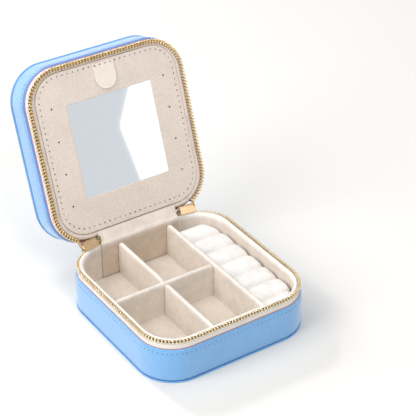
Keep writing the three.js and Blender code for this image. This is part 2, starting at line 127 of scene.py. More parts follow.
# ---- outlines seen from above
@dataclass(frozen=True)
class Outline:
    x: float
    front: float
    back: float
    front_radius: float
    back_radius: float

    def shrink(self, by):
        least = 0.4 * MM
        return Outline(
            self.x - by,
            self.front + by,
            self.back - by,
            max(self.front_radius - by, least),
            max(self.back_radius - by, least),
        )

    def ring(self):
        """Points anticlockwise from the right-hand side, as an array of [x, y]."""
        x, y, radius = self.x - self.back_radius, self.back - self.back_radius, self.back_radius
        arcs = [(x, y, radius, 0, 90), (-x, y, radius, 90, 180)]
        x, y, radius = self.x - self.front_radius, self.front + self.front_radius, self.front_radius
        arcs += [(-x, y, radius, 180, 270), (x, y, radius, 270, 360)]
        points = joined_arcs(arcs, CORNER_STEPS, EDGE_STEPS)
        return np.vstack([points, straight(points[-1], points[0], EDGE_STEPS)])


def straight(a, b, steps):
    """Points strictly between a and b."""
    t = np.arange(1, steps)[:, None] / steps
    return a + (b - a) * t


def joined_arcs(arcs, corner_steps, edge_steps):
    """Points along arcs of (x, y, radius, first angle, last angle) and the straight lines between them."""
    points = []
    for x, y, radius, first, last in arcs:
        turns = np.radians(np.linspace(first, last, corner_steps + 1))
        arc = np.stack([x + radius * np.cos(turns), y + radius * np.sin(turns)], 1)
        if points:
            points.append(straight(points[-1][-1], arc[0], edge_steps))
        points.append(arc)
    return np.vstack(points)


def angles(count, first=0.0):
    """Even angles round a circle. The first one is that share of a step from zero."""
    return [2 * math.pi * (k + first) / count for k in range(count)]


def directions(points):
    """The unit direction of a line at each of its points."""
    ends = len(points) - 1
    return [(points[min(i + 1, ends)] - points[max(i - 1, 0)]).normalized() for i in range(ends + 1)]


def half_turn(steps, first=0, last=None):
    """Even angles from 0 to pi, or those from the first step up to the last."""
    return [math.pi * k / steps for k in range(first, (steps if last is None else last) + 1)]


def outline_of(box, radius):
    low, high = box
    return Outline((high.x - low.x) / 2, low.y, high.y, radius, radius)


CASE = outline_of(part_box("base_side_cover"), CORNER)


def closed_walk(points, pitch):
    """Even stations round a closed line at about that pitch, as walk gives them."""
    return walk(np.vstack([points, points[:1]]), pitch, first=0)


def walk(points, pitch, first=0.5):
    """Even stations along a line: (point, direction along, direction out), all level at Z = 0.
    The first one is that share of a pitch from the line's start."""
    steps = np.linalg.norm(np.diff(points, axis=0), axis=1)
    along = np.concatenate([[0], np.cumsum(steps)])
    count = max(2, round(along[-1] / pitch))
    at = (np.arange(count) + first) * along[-1] / count
    stations = []
    for s in at:
        near = [s, min(s + STEP, along[-1]), max(s - STEP, 0)]
        p, ahead, behind = zip(*(np.interp(near, along, points[:, k]) for k in range(2)))
        direction = Vector((ahead[0] - behind[0], ahead[1] - behind[1], 0)).normalized()
        stations.append((Vector((*p, 0)), direction, Vector((direction.y, -direction.x, 0))))
    return stations


def zip_line(start, inset):
    """The zip's route, anticlockwise from the back left corner by the front: an array of [x, y]."""
    x, back, front, reach = CASE.x - CORNER, CASE.back - CORNER, CASE.front + CORNER, CORNER - inset
    arcs = [(-x, back, reach, 90 + start, 180), (-x, front, reach, 180, 270)]
    arcs += [(x, front, reach, 270, 360), (x, back, reach, 360, 450 - start)]
    return joined_arcs(arcs, 24, 12)


# ---- meshes
def skin(rows, looped=False):
    """Vertices and faces of a row of equal closed sections, which closes on itself or gets end caps."""
    size = len(rows[0])
    verts = [tuple(p) for row in rows for p in row]
    faces = []
    for i in range(len(rows) if looped else len(rows) - 1):
        here, there = i * size, ((i + 1) % len(rows)) * size
        for j in range(size):
            k = (j + 1) % size
            faces.append((here + j, here + k, there + k, there + j))
    if not looped:
        faces.append(tuple(range(size)))
        last = (len(rows) - 1) * size
        faces.append(tuple(range(last, last + size)))
    return verts, faces


def piece(name, shape, material, body, stands_for=None, sharp=35):
    """A finished piece from a shape, which is its vertices and faces."""
    verts, faces = shape
    mesh = bpy.data.meshes.new(name)
    mesh.from_pydata([tuple(v) for v in verts], [], faces)
    return dress(name, mesh, material, body, stands_for, sharp)


CAP = 1                      # marks the flat faces of a plate until it is dressed


def dress(name, mesh, material, body, stands_for=None, sharp=35):
    """Turns a mesh into a finished piece that rides on a body and stands for a CAD node, if one is given.
    The lid's and the flap's pieces are drawn shut. A body of None leaves the riding to the caller."""
    work = bmesh.new()
    work.from_mesh(mesh)
    bmesh.ops.remove_doubles(work, verts=work.verts, dist=1e-7)
    bmesh.ops.recalc_face_normals(work, faces=work.faces)
    work.to_mesh(mesh)
    work.free()
    if body in ("lid", "flap"):
        mesh.transform(OPENED)
    mesh.shade_smooth()
    mesh.set_sharp_from_angle(angle=math.radians(sharp))
    for polygon in mesh.polygons:
        polygon.use_smooth = polygon.material_index != CAP
        polygon.material_index = 0
    mesh.materials.clear()
    mesh.materials.append(material)
    obj = bpy.data.objects.new(name, mesh)
    bpy.context.scene.collection.objects.link(obj)
    if stands_for:
        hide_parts(stands_for)
    if body:
        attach(obj, body)
    return obj


def level(outline, z):
    return [(x, y, z) for x, y in outline.ring()]


def ring_wall(outline, section):
    """Rows for a wall that follows an outline. Its section is a closed list of (inset, z)."""
    return [level(outline.shrink(inset), z) for inset, z in section]


def scatter(unit, frames):
    """Copies of a unit mesh, each placed by a 4x4 matrix, as one set of vertices and faces."""
    verts, faces = unit
    local = np.hstack([np.array(verts, float), np.ones((len(verts), 1))])
    all_verts, all_faces = [], []
    for n, matrix in enumerate(frames):
        all_verts.append((local @ np.array(matrix, float).T)[:, :3])
        all_faces.extend(tuple(n * len(verts) + v for v in face) for face in faces)
    return np.vstack(all_verts), all_faces


def frame_at(origin, along, up):
    """A matrix whose X is along and whose Z is up."""
    along, up = Vector(along).normalized(), Vector(up)
    up = (up - along * up.dot(along)).normalized()
    side = up.cross(along)
    matrix = Matrix((along, side, up)).transposed().to_4x4()
    matrix.translation = Vector(origin)
    return matrix


def flat_plate(outer, holes, low, high, bevel):
    """A mesh of a flat plate with holes and rounded edges, from loops of [x, y]."""
    curve = bpy.data.curves.new("plate", "CURVE")
    curve.dimensions = "2D"
    curve.fill_mode = "BOTH"
    curve.extrude = (high - low) / 2 - bevel
    curve.bevel_depth = bevel
    curve.bevel_resolution = 2
    for loop in [outer, *holes]:
        spline = curve.splines.new("POLY")
        spline.points.add(len(loop) - 1)
        for point, (x, y) in zip(spline.points, loop):
            point.co = (x, y, 0, 1)
        spline.use_cyclic_u = True
    curve.offset = -bevel
    holder = bpy.data.objects.new("plate", curve)
    bpy.context.scene.collection.objects.link(holder)
    bpy.context.view_layer.update()
    depsgraph = bpy.context.evaluated_depsgraph_get()
    mesh = bpy.data.meshes.new_from_object(holder.evaluated_get(depsgraph))
    bpy.data.objects.remove(holder)
    for polygon in mesh.polygons:
        polygon.material_index = CAP if abs(polygon.normal.z) > 0.999 else 0
    mesh.transform(Matrix.Translation((0, 0, (low + high) / 2)))
    return mesh


def rounded_loop(x0, x1, y0, y1, radius, steps=8):
    left, right, low, high = x0 + radius, x1 - radius, y0 + radius, y1 - radius
    centres = [(right, high), (left, high), (left, low), (right, low)]
    loop = []
    for k, (cx, cy) in enumerate(centres):
        for i in range(steps + 1):
            turn = math.radians(90 * k + 90 * i / steps)
            loop.append((cx + radius * math.cos(turn), cy + radius * math.sin(turn)))
    return loop


def oval(x, y, wide, tall, steps):
    return [(x + wide * math.cos(t), y + tall * math.sin(t)) for t in angles(steps)]


# ---- materials
class Finish:
    """A Principled material, with its colour and bump worked out from noise in the piece's own space."""

    def __init__(self, name, slot, color, roughness, metallic=0.0, **sockets):
        self.material = bpy.data.materials.new(name)
        self.material.use_nodes = True
        self.material["slot"] = slot
        self.tree = self.material.node_tree
        self.shader = self.tree.nodes["Principled BSDF"]
        self.shader.inputs["Base Color"].default_value = (*color, 1)
        self.shader.inputs["Roughness"].default_value = roughness
        self.shader.inputs["Metallic"].default_value = metallic
        for socket, value in sockets.items():
            self.shader.inputs[socket.replace("_", " ")].default_value = value
        coordinates = self.tree.nodes.new("ShaderNodeTexCoord")
        self.space = coordinates.outputs["Object"]
        self.uv = coordinates.outputs["UV"]

    def node(self, kind, sockets=None, **properties):
        made = self.tree.nodes.new("ShaderNode" + kind)
        for key, value in properties.items():
            setattr(made, key, value)
        for key, value in (sockets or {}).items():
            if isinstance(value, bpy.types.NodeSocket):
                self.tree.links.new(value, made.inputs[key])
            else:
                made.inputs[key].default_value = value
        return made

    def noise(self, size, detail=2.0, roughness=0.5):
        sockets = {"Vector": self.space, "Scale": 1 / size, "Detail": detail, "Roughness": roughness}
        return self.node("TexNoise", sockets).outputs["Fac"]

    def cells(self, size, space):
        sockets = {"Vector": space, "Scale": 1 / size, "Randomness": 1.0}
        return self.node("TexVoronoi", sockets, feature="SMOOTH_F1").outputs["Distance"]

    def maths(self, operation, a, b=0.0, clamp=False):
        return self.node("Math", {0: a, 1: b}, operation=operation, use_clamp=clamp).outputs[0]

    def weighed(self, a, a_weight, b, b_weight, clamp=False):
        """The sum of a and b, each times its weight."""
        parts = [self.maths("MULTIPLY", a, a_weight), self.maths("MULTIPLY", b, b_weight)]
        return self.maths("ADD", *parts, clamp)

    def remap(self, value, low, high, to_low=0.0, to_high=1.0):
        sockets = {"Value": value, "From Min": low, "From Max": high, "To Min": to_low, "To Max": to_high}
        return self.node("MapRange", sockets).outputs["Result"]

    def spread(self, noise, to_low=0.0, to_high=1.0):
        """Stretches the middle range of a noise, which is where most of it lies."""
        return self.remap(noise, 0.3, 0.7, to_low, to_high)

    def mix(self, factor, dark, light):
        """A colour from dark to light as factor goes from 0 to 1. Each is a colour or a socket."""
        made = self.node("Mix", {"Factor": factor}, data_type="RGBA")
        for socket, value in (("A", dark), ("B", light)):
            target = [i for i in made.inputs if i.name == socket and i.type == "RGBA"][0]
            if isinstance(value, bpy.types.NodeSocket):
                self.tree.links.new(value, target)
            else:
                target.default_value = (*value, 1)
        return [o for o in made.outputs if o.type == "RGBA"][0]

    def shade(self, factor, dark, light):
        """Colours the surface from dark to light as factor goes from 0 to 1."""
        output = self.mix(factor, dark, light)
        self.tree.links.new(output, self.shader.inputs["Base Color"])
        return output

    def rough(self, value):
        self.tree.links.new(value, self.shader.inputs["Roughness"])

    def bump(self, height, depth, strength=1.0):
        made = self.node("Bump", {"Height": height, "Distance": depth, "Strength": strength})
        self.tree.links.new(made.outputs["Normal"], self.shader.inputs["Normal"])


def tint(color, by):
    return tuple(min(1.0, c * by) for c in color)


def leather(name, slot, color, grain, depth, roughness, sheen=0.0, contrast=1.0):
    """Pebbled leather: rounded cells with creases between them, over soft large-scale mottling."""
    made = Finish(name, slot, color, roughness, Specular_IOR_Level=0.45, Coat_Weight=0.06,
                  Coat_Roughness=0.35, Sheen_Weight=sheen, Sheen_Roughness=0.6)
    warp = made.node("TexNoise", {"Vector": made.space, "Scale": 1 / (3 * grain), "Detail": 1.0})
    warped = made.node("VectorMath", {0: warp.outputs["Color"], 3: 0.6 * grain}, operation="SCALE")
    moved = made.node("VectorMath", {0: made.space, 1: warped.outputs[0]}, operation="ADD")
    dome = made.remap(made.cells(grain, moved.outputs[0]), 0.0, 0.75, 1.0, 0.0)
    height = made.maths("ADD", dome, made.maths("MULTIPLY", made.noise(0.35 * grain), 0.25))
    # Painted shade: the colour is darker in the creases between the cells, with a large-scale mottling of the
    # leather's own tone on top.
    factor = made.weighed(dome, 0.55, made.noise(14 * MM, 3.0), 0.5, clamp=True)
    made.shade(factor, tint(color, 1 - 0.14 * contrast), tint(color, 1 + 0.08 * contrast))
    made.rough(made.spread(made.noise(0.8 * MM), roughness - 0.07, roughness + 0.08))
    made.bump(height, depth)
    return made.material


def velvet(name, color, shaded=None):
    """Short-pile velvet: a fine nap, patches that lean different ways, and sheen at grazing angles.
    shaded is (height, height, colour) for painted shade: the nap has that darker colour up to the first
    height, and color above the second."""
    made = Finish(name, "velvet_cream", color, 0.92, Specular_IOR_Level=0.15, Sheen_Weight=0.35,
                  Sheen_Roughness=0.45, Sheen_Tint=(1.0, 0.95, 0.9, 1))
    nap = made.weighed(made.noise(NAP, 3.0, 0.65), 0.55, made.noise(2.2 * NAP), 0.45)
    patches = made.noise(6 * MM)
    factor = made.maths("ADD", made.spread(nap, 0.0, 0.65), made.spread(patches, 0.0, 0.35))
    upper = made.shade(factor, tint(color, 0.78), tint(color, 1.12))
    if shaded:
        # painted shade: below the first height the nap takes the darker shade colour
        low, high, deep = shaded
        height = made.node("SeparateXYZ", {"Vector": made.space}).outputs["Z"]
        lower = made.mix(factor, tint(deep, 0.78), tint(deep, 1.12))
        made.shade(made.remap(height, low, high), lower, upper)
    made.bump(nap, 0.16 * MM)
    return made.material


def woven_tape(name, color):
    """Zip tape: rows of small herringbone ribs along and across the tape, from its UV map in metres."""
    made = Finish(name, "zip_tape", color, 0.85, Specular_IOR_Level=0.2, Sheen_Weight=0.2,
                  Sheen_Roughness=0.5)
    split = made.node("SeparateXYZ", {"Vector": made.uv})
    u, v = split.outputs["X"], split.outputs["Y"]
    across = made.maths("PINGPONG", v, 0.7 * MM)
    slanted = made.maths("ADD", u, made.maths("MULTIPLY", across, 1.2))
    rib = made.maths("SINE", made.maths("MULTIPLY", slanted, 2 * math.pi / (0.5 * MM)))
    rib = made.remap(rib, -1.0, 1.0)
    fuzz = made.noise(0.25 * MM)
    made.shade(made.weighed(rib, 0.55, fuzz, 0.5, clamp=True), tint(color, 0.82), tint(color, 1.06))
    made.bump(made.maths("ADD", rib, made.maths("MULTIPLY", fuzz, 0.4)), 0.07 * MM)
    return made.material


def metal(name, slot, color, roughness, wear=0.12, dents=0.01 * MM, marks=0.12):
    """Plated metal with a little tarnish and fine handling marks."""
    made = Finish(name, slot, color, roughness, 1.0)
    made.shade(made.spread(made.noise(2.5 * MM, 3.0)), tint(color, 1 - wear), tint(color, 1.05))
    made.rough(made.remap(made.noise(0.35 * MM), 0.35, 0.7, roughness - 0.4 * marks, roughness + marks))
    made.bump(made.noise(0.6 * MM), dents, 0.6)
    return made.material


def thread(name, slot, color):
    """Waxed thread with a twist along its length."""
    made = Finish(name, slot, color, 0.6, Sheen_Weight=0.15)
    twist = made.noise(0.18 * MM, 1.0)
    made.shade(made.spread(twist), tint(color, 0.8), tint(color, 1.08))
    made.bump(twist, 0.04 * MM)
    return made.material


def board(name, slot, color):
    """Greyboard: short fibres and specks."""
    made = Finish(name, slot, color, 0.9, Specular_IOR_Level=0.2)
    fibres = made.noise(0.5 * MM, 4.0, 0.7)
    made.shade(made.spread(fibres), tint(color, 0.8), tint(color, 1.12))
    made.bump(fibres, 0.05 * MM)
    return made.material


def silvered_glass(name, slot):
    """Mirror glass, very slightly uneven so that reflections have soft edges."""
    made = Finish(name, slot, (0.93, 0.95, 0.97), 0.035, 1.0)
    made.bump(made.noise(25 * MM, 1.0), 0.004 * MM, 0.3)
    return made.material


NAP = 0.45 * MM
CREAM_VELVET = (0.80, 0.72, 0.64)

blue_leather = leather("blue_leather", "leather_blue", (0.14, 0.415, 0.79), 1.1 * MM, 0.15 * MM, 0.42,
                       sheen=0.65)
# The lid's turned-in band: painted shade, a deeper blue than the leather.
painted_shade_blue = leather("painted_shade_blue", "leather_blue", (0.15, 0.25, 0.62), 1.1 * MM, 0.1 * MM, 0.4)
panel_leather = leather("panel_leather", "leather_cream", (0.84, 0.735, 0.66), 0.75 * MM, 0.15 * MM, 0.55,
                        contrast=1.5)
tab_leather = leather("tab_leather", "leather_cream", (0.95, 0.84, 0.76), 0.9 * MM, 0.1 * MM, 0.5)
lip_blue = leather("lip_blue", "leather_blue", (0.12, 0.41, 0.80), 1.1 * MM, 0.1 * MM, 0.4, sheen=0.45)
# Painted shade: a dark blue bead in the crevice above the base's bottom lip.
seam_shadow_blue = leather("seam_shadow_blue", "leather_blue", (0.035, 0.15, 0.48), 0.5 * MM, 0.02 * MM, 0.7)
edge_paint = leather("edge_paint", "leather_blue", (0.50, 0.16, 0.11), 0.6 * MM, 0.02 * MM, 0.5)
# Needle holes: painted shade, a dark blue button in each hole.
painted_hole_shade = leather("painted_hole_shade", "leather_blue", (0.07, 0.14, 0.32), 0.5 * MM, 0.02 * MM, 0.7)
cream_velvet = velvet("cream_velvet", CREAM_VELVET)
# Painted shade: the roll, wall, divider and strip velvets turn darker below the first of their two heights,
# down in the tray and in the slots between the rolls.
roll_velvet = velvet("roll_velvet", (0.97, 0.935, 0.90), (14 * MM, 21 * MM, (0.82, 0.75, 0.69)))
wall_velvet = velvet("wall_velvet", (0.96, 0.89, 0.84), (22.5 * MM, 25.4 * MM, (0.76, 0.68, 0.61)))
divider_velvet = velvet("divider_velvet", (0.90, 0.83, 0.775), (21.5 * MM, 24.3 * MM, CREAM_VELVET))
strip_velvet = velvet("strip_velvet", (0.86, 0.77, 0.70), (22.5 * MM, 26.5 * MM, (0.66, 0.55, 0.45)))
# Painted shadow: dark brown cloth along the flap's lower edge, where the gap lies in shade.
gap_shadow_velvet = velvet("gap_shadow_velvet", (0.42, 0.27, 0.16))
lid_rim_velvet = velvet("lid_rim_velvet", (0.80, 0.69, 0.63))
cream_tape = woven_tape("cream_tape", (0.95, 0.88, 0.83))
# Painted shade: a dark brown tape for the zip's closed ends, which lie in shadow.
shadow_tape = woven_tape("shadow_tape", (0.30, 0.22, 0.15))
brass_teeth = metal("brass_teeth", "zip_teeth", (0.82, 0.64, 0.36), 0.27)
# Painted light: a paler copy of the teeth's brass for the base's row, which catches more light than the lid's.
painted_light_brass = metal("painted_light_brass", "zip_teeth", (0.87, 0.76, 0.55), 0.27)
# Painted shade: a darker, duller copy of the brass, for the zip ends' teeth and the sliders' top blocks.
painted_shade_brass = metal("painted_shade_brass", "slider_gold", (0.60, 0.52, 0.28), 0.35, 0.1)
gold_slider = metal("gold_slider", "slider_gold", (0.94, 0.66, 0.40), 0.3, 0.05, dents=0.001 * MM, marks=0.04)
pale_thread = thread("pale_thread", "leather_blue", (0.33, 0.52, 0.80))
dark_cord = thread("dark_cord", "zip_tape", (0.30, 0.18, 0.08))
tan_cord = thread("tan_cord", "zip_tape", (0.55, 0.37, 0.17))
dark_thread = thread("dark_thread", "leather_cream", (0.05, 0.035, 0.03))
grey_board = board("grey_board", "greyboard", (0.48, 0.40, 0.30))
white_foam = board("white_foam", "foam", (0.80, 0.78, 0.72))
mirror_silver = silvered_glass("mirror_silver", "mirror_glass")


def finish_node(node, material):
    obj = frame["nodes"][node]
    obj.data.materials.clear()
    obj.data.materials.append(material)


# ---- small repeated units
def stitch_unit():
    """One stitch along X: a capsule whose ends dip below the surface at Z = 0."""
    length, radius = STITCH["length"], STITCH["radius"]
    rows = []
    for i in range(9):
        t = i / 8
        swell = math.sin(math.pi * min(max(t, 0.04), 0.96)) ** 0.45
        x = (t - 0.5) * length
        z = radius * (1.1 * math.sin(math.pi * t) - 0.6)
        thick = radius * swell
        rows.append([(x, thick * math.cos(a), z + 0.8 * thick * math.sin(a)) for a in angles(8)])
    return skin(rows)


def hole_unit():
    """A needle hole: a low dark button that sits in the dip of the seam, with Z out of the surface. Its dark
    blue is painted shade.
    """
    rows = []
    for wide, z in ((0.42, -0.2), (0.42, 0.0), (0.25, 0.06)):
        rows.append([(wide * MM * math.cos(a), 0.6 * wide * MM * math.sin(a), z * MM) for a in angles(8)])
    return skin(rows)


def tooth_unit():
    """One zip tooth. X runs along the zip, Y across it, and Z from the tape towards the other row."""
    shape = [
        (-2.1, 0.8, 1.3), (-1.95, 1.05, 1.6), (-1.35, 1.15, 1.75), (-1.05, 1.05, 1.6), (-0.85, 0.75, 1.25),
        (-0.6, 0.9, 1.45), (-0.3, 0.88, 1.5), (0.1, 0.76, 1.2), (0.25, 0.5, 0.7),
    ]
    rows = []
    for z, wide, deep in shape:
        rows.append(squared_ring(wide / 2 * MM, deep / 2 * MM, z * MM))
    return skin(rows)


def squared(value, power=0.55):
    """Pushes a circle's coordinate towards a square with rounded corners."""
    return math.copysign(abs(value) ** power, value)


def squared_ring(along, across, z):
    return [(along * squared(math.cos(a)), across * squared(math.sin(a)), z) for a in angles(12, 0.5)]


# ---- leather sides
def side_section(low, high, rim_up):
    """Closed section (inset, z) of a leather side: swollen face, rim turned in, and a dip at the stitches."""
    seam = high - SEAM_FROM_RIM if rim_up else low + SEAM_FROM_RIM
    section = []
    steps = 44
    for i in range(steps + 1):
        t = i / steps
        z = low + (high - low) * t
        dip = SEAM_DIP * math.exp(-((z - seam) / (0.6 * MM)) ** 2)
        section.append((face_inset(z, low, high, rim_up) + dip, z))
    inner = BULGE + LEATHER
    ends = (section[-1][0], section[0][0])
    top = [(ends[0] + (inner - ends[0]) * t, high) for t in (0.5, 1.0)]
    bottom = [(ends[1] + (inner - ends[1]) * t, low) for t in (1.0, 0.5)]
    return section + top + bottom


def face_inset(z, low, high, rim_up):
    """How far the outer face of a leather side is inside the case's outline at height z."""
    t = (z - low) / (high - low)
    from_rim = high - z if rim_up else z - low
    near = max(0.0, 1 - from_rim / ROLL_OVER["along"])
    turned = ROLL_OVER["in"] * (1 - math.sqrt(1 - near ** 2))
    from_seam = z - low if rim_up else high - z
    near = max(0.0, 1 - from_seam / (1.0 * MM))
    turned += 0.4 * MM * (1 - math.sqrt(1 - near ** 2))
    return BULGE * (2 * t - 1) ** 2 + turned


def ripple(shape, amount, size):
    """A shape with its points moved a little across the case, so that long soft faces aren't dead flat."""
    verts, faces = shape
    moved = []
    for x, y, z in verts:
        push = noise.noise(Vector((x, y, z)) / size) * amount
        reach = math.hypot(x, y) or 1.0
        moved.append((x + x / reach * push, y + y / reach * push, z))
    return moved, faces


def leather_side(body):
    """A half's leather side with its seam. Its rim is up on the base and down on the shut lid."""
    rim_up = body == "base"
    name, node = f"{body}_leather_side", f"{body}_side_cover"
    low, high = (corner.z for corner in drawn_box(body, node))
    wall = skin(ring_wall(CASE, side_section(low, high, rim_up)), looped=True)
    piece(name, ripple(wall, *LEATHER_RIPPLE), blue_leather, body, stands_for=node, sharp=60)
    rim = high if rim_up else low
    seam = rim + (-SEAM_FROM_RIM if rim_up else SEAM_FROM_RIM)
    inset = face_inset(seam, low, high, rim_up) + 0.1 * MM
    threads, needle_holes = [], []
    for p, along, out in closed_walk(CASE.shrink(inset).ring(), STITCH["pitch"]):
        threads.append(frame_at(p + UP * seam, along, out))
        needle_holes.append(frame_at(p + along * STITCH["pitch"] / 2 + UP * seam, along, out))
    piece(f"{name}_stitches", scatter(stitch_unit(), threads), pale_thread, body)
    piece(f"{name}_needle_holes", scatter(hole_unit(), needle_holes), painted_hole_shade, body)
    edge = face_inset(rim, low, high, rim_up) + 0.1 * MM
    bead = oval(edge, rim, 0.27 * MM, 0.27 * MM, 8)
    piece(f"{name}_edge", skin(ring_wall(CASE, bead), looped=True), edge_paint, body)


def crown_at(inset, dome):
    """How much higher than its edge the padded top is, that far from the edge."""
    return dome * (1 - (1 - min(inset / (30 * MM), 1.0)) ** 2.4)


def lipped_panel(name, node, low, high, material, body, dome=0.0):
    """A panel with a rolled edge that stands out, a sewn channel inside it, and a padded middle."""
    thick = high - low
    section = [(44 * MM, 0.0), (2.2 * MM, 0.0)]
    for i in range(11):
        turn = -math.pi / 2 + math.pi * i / 10
        near = 0.9 * MM if turn < 0 else 0.5 * MM
        section.append((-LIP[body] + near - near * math.cos(turn), thick / 2 + thick / 2 * math.sin(turn)))
    if dome:
        steps = 26
        for i in range(1, steps + 1):
            inset = (0.6 + 43.4 * (i / steps) ** 1.6) * MM
            channel = 0.35 * MM * math.exp(-((inset - CHANNEL) / (0.7 * MM)) ** 2)
            section.append((inset, thick + crown_at(inset, dome) - channel))
    else:
        section.extend([(0.9 * MM, thick), (44 * MM, thick)])
    rows = [level(CASE.shrink(inset), low + z) for inset, z in section]
    return piece(name, skin(rows), material, body, stands_for=node, sharp=50)


leather_side("base")
low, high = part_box("base_bottom_cover")
lipped_panel("base_leather_bottom", "base_bottom_cover", low.z, high.z, lip_blue, "base")
# A dark blue bead, painted as the shade in the seam's crevice above the lip.
seam_shadow_bead = oval(0.55 * MM, high.z + 0.02 * MM, 0.3 * MM, 0.26 * MM, 8)
piece("base_bottom_seam_shadow", skin(ring_wall(CASE, seam_shadow_bead), looped=True), seam_shadow_blue, "base")

leather_side("lid")


def turned_band():
    """The band where the lid's leather turns in towards the zip, painted a deeper blue as painted shade."""
    low, high = (corner.z for corner in shut_box("lid_side_cover"))
    heights = [low + 0.15 * MM + 1.0 * MM * i / 8 for i in range(9)]
    outside = [(face_inset(z, low, high, False) - 0.05 * MM, z) for z in heights]
    inside = [(inset + 0.15 * MM, z) for inset, z in reversed(outside)]
    band = skin(ring_wall(CASE, outside + inside), looped=True)
    piece("lid_turned_band", ripple(band, *LEATHER_RIPPLE), painted_shade_blue, "lid")


turned_band()
low, high = shut_box("lid_top_cover")
LID_PANEL = 0.9 * MM
lid_crown = high.z - low.z - LID_PANEL
lid_panel = lipped_panel("lid_leather_top", "lid_top_cover", low.z, low.z + LID_PANEL, blue_leather, "lid",
                         dome=lid_crown)
seam_height = low.z + LID_PANEL + crown_at(CHANNEL, lid_crown) - 0.3 * MM
seam_walk = closed_walk(CASE.shrink(CHANNEL).ring(), STITCH["pitch"])
seam_frames = [frame_at(p + UP * seam_height, along, UP) for p, along, out in seam_walk]
piece("lid_top_stitches", scatter(stitch_unit(), seam_frames), pale_thread, "lid")


# ---- linings
def between(outer, inner, share):
    """The outline that lies a share of the way from one outline to another."""
    return Outline(*(a + (b - a) * share for a, b in zip(astuple(outer), astuple(inner))))


def lining(body, outer, inner, rim_depth, material):
    """A velvet-covered wall with a full, soft rim that fills the space beside the teeth."""
    node = f"{body}_lining_wall"
    low, high = (corner.z for corner in drawn_box(body, node))
    rim, far, sign = (high, low, 1) if body == "base" else (low, high, -1)
    profile = [(0.0, -2.4), (0.02, -1.3), (0.1, -0.55), (0.24, -0.12), (0.42, 0.0), (0.6, -0.06),
               (0.78, -0.3), (0.92, -0.8), (1.0, -1.5), (1.02, -2.4), (0.98, -3.6)]
    rows = [level(between(outer, inner, share), rim + sign * z * rim_depth / 2.4) for share, z in profile]
    rows.append(level(inner, rim - sign * 1.9 * rim_depth))
    rows.append(level(inner, (rim + far) / 2))
    rows.append(level(inner, far))
    rows.append(level(inner.shrink(-0.8 * MM), far))
    rows.append(level(inner.shrink(-0.8 * MM), rim - sign * 1.9 * rim_depth))
    wall = ripple(skin(rows, looped=True), 0.12 * MM, 12 * MM)
    piece(f"{body}_velvet_wall", wall, material, body, stands_for=node, sharp=75)


TEETH_INSIDE = 2.45 * MM     # inset of the inner face of the teeth
LINING = 1.2 * MM
low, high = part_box("base_lining_wall")
base_inner = Outline(high.x - LINING, low.y + LINING, high.y - LINING, LINING_CORNER, BACK_LINING_CORNER)
base_rim_outer = Outline(CASE.x - TEETH_INSIDE, CASE.front + TEETH_INSIDE, high.y, CORNER - TEETH_INSIDE,
                         CORNER - TEETH_INSIDE)
lining("base", base_rim_outer, base_inner, 2.4 * MM, wall_velvet)

LID_LINING = 1.0 * MM
low, high = shut_box("lid_lining_wall")
lid_inner = outline_of((low, high), 16.9 * MM).shrink(LID_LINING + 0.42 * MM)
lid_inner = replace(lid_inner, x=lid_inner.x - 0.2 * MM)
lid_rim_outer = Outline(CASE.x - TEETH_INSIDE, CASE.front + TEETH_INSIDE, high.y + 1.6 * MM,
                        CORNER - TEETH_INSIDE, CORNER - TEETH_INSIDE)
lining("lid", lid_rim_outer, lid_inner, 1.6 * MM, lid_rim_velvet)


def laid_sheet(name, node, outline, low, high, material, body, crown=0.0, wave=0.12 * MM, face_down=False):
    """Cloth or foam laid inside an outline: a soft edge, and slight waves on the face that shows."""
    thick = high - low - crown
    reach = min(outline.x, (outline.back - outline.front) / 2) - 0.5 * MM
    back = [(reach, 0.0), (0.5 * thick, 0.0), (0.0, 0.5 * thick), (0.3 * thick, 0.9 * thick)]
    steps = 18
    face = []
    for i in range(1, steps + 1):
        inset = 0.3 * thick + (reach - 0.3 * thick) * (i / steps) ** 1.4
        face.append((inset, thick + crown * (1 - (1 - inset / reach) ** 3)))
    rows = []
    for k, (inset, z) in enumerate(back + face):
        ring = level(outline.shrink(inset), z)
        if k >= len(back):
            ring = [(x, y, z - wave * (0.5 + noise.noise(Vector((x, y, 0)) / (8 * MM)))) for x, y, z in ring]
        rows.append([(x, y, high - z if face_down else low + z) for x, y, z in ring])
    return piece(name, skin(rows), material, body, stands_for=node, sharp=60)


def laid_cloth(name, node, body, wave, face_down=False):
    low, high = drawn_box(body, node)
    outline = Outline(high.x, low.y, high.y, LINING_CORNER, LINING_CORNER)
    cloth = laid_sheet(name, node, outline, low.z, high.z, cream_velvet, body, wave=wave, face_down=face_down)


laid_cloth("velvet_floor", "base_floor_lining", "base", 0.03 * MM)
laid_cloth("velvet_lid_back", "lid_back_lining", "lid", 0.12 * MM, face_down=True)
low, high = shut_box("lid_padding")
foam_outline = Outline(high.x, low.y, high.y, 16.8 * MM, 16.8 * MM)
foam = laid_sheet("lid_foam", "lid_padding", foam_outline, low.z, high.z, white_foam, "lid",
                  crown=0.6 * (high.z - low.z))
for part in ("base_bottom", "base_side", "ring", "lid_side", "lid_top", "flap"):
    finish_node(f"{part}_board", grey_board)


# ---- zip
def zip_rows(start, loop):
    """Sections that carry a closed loop of (inset, z) along the zip."""
    columns = [zip_line(start, inset) for inset, z in loop]
    return [[(x, y, z) for (x, y), (inset, z) in zip(station, loop)] for station in zip(*columns)]


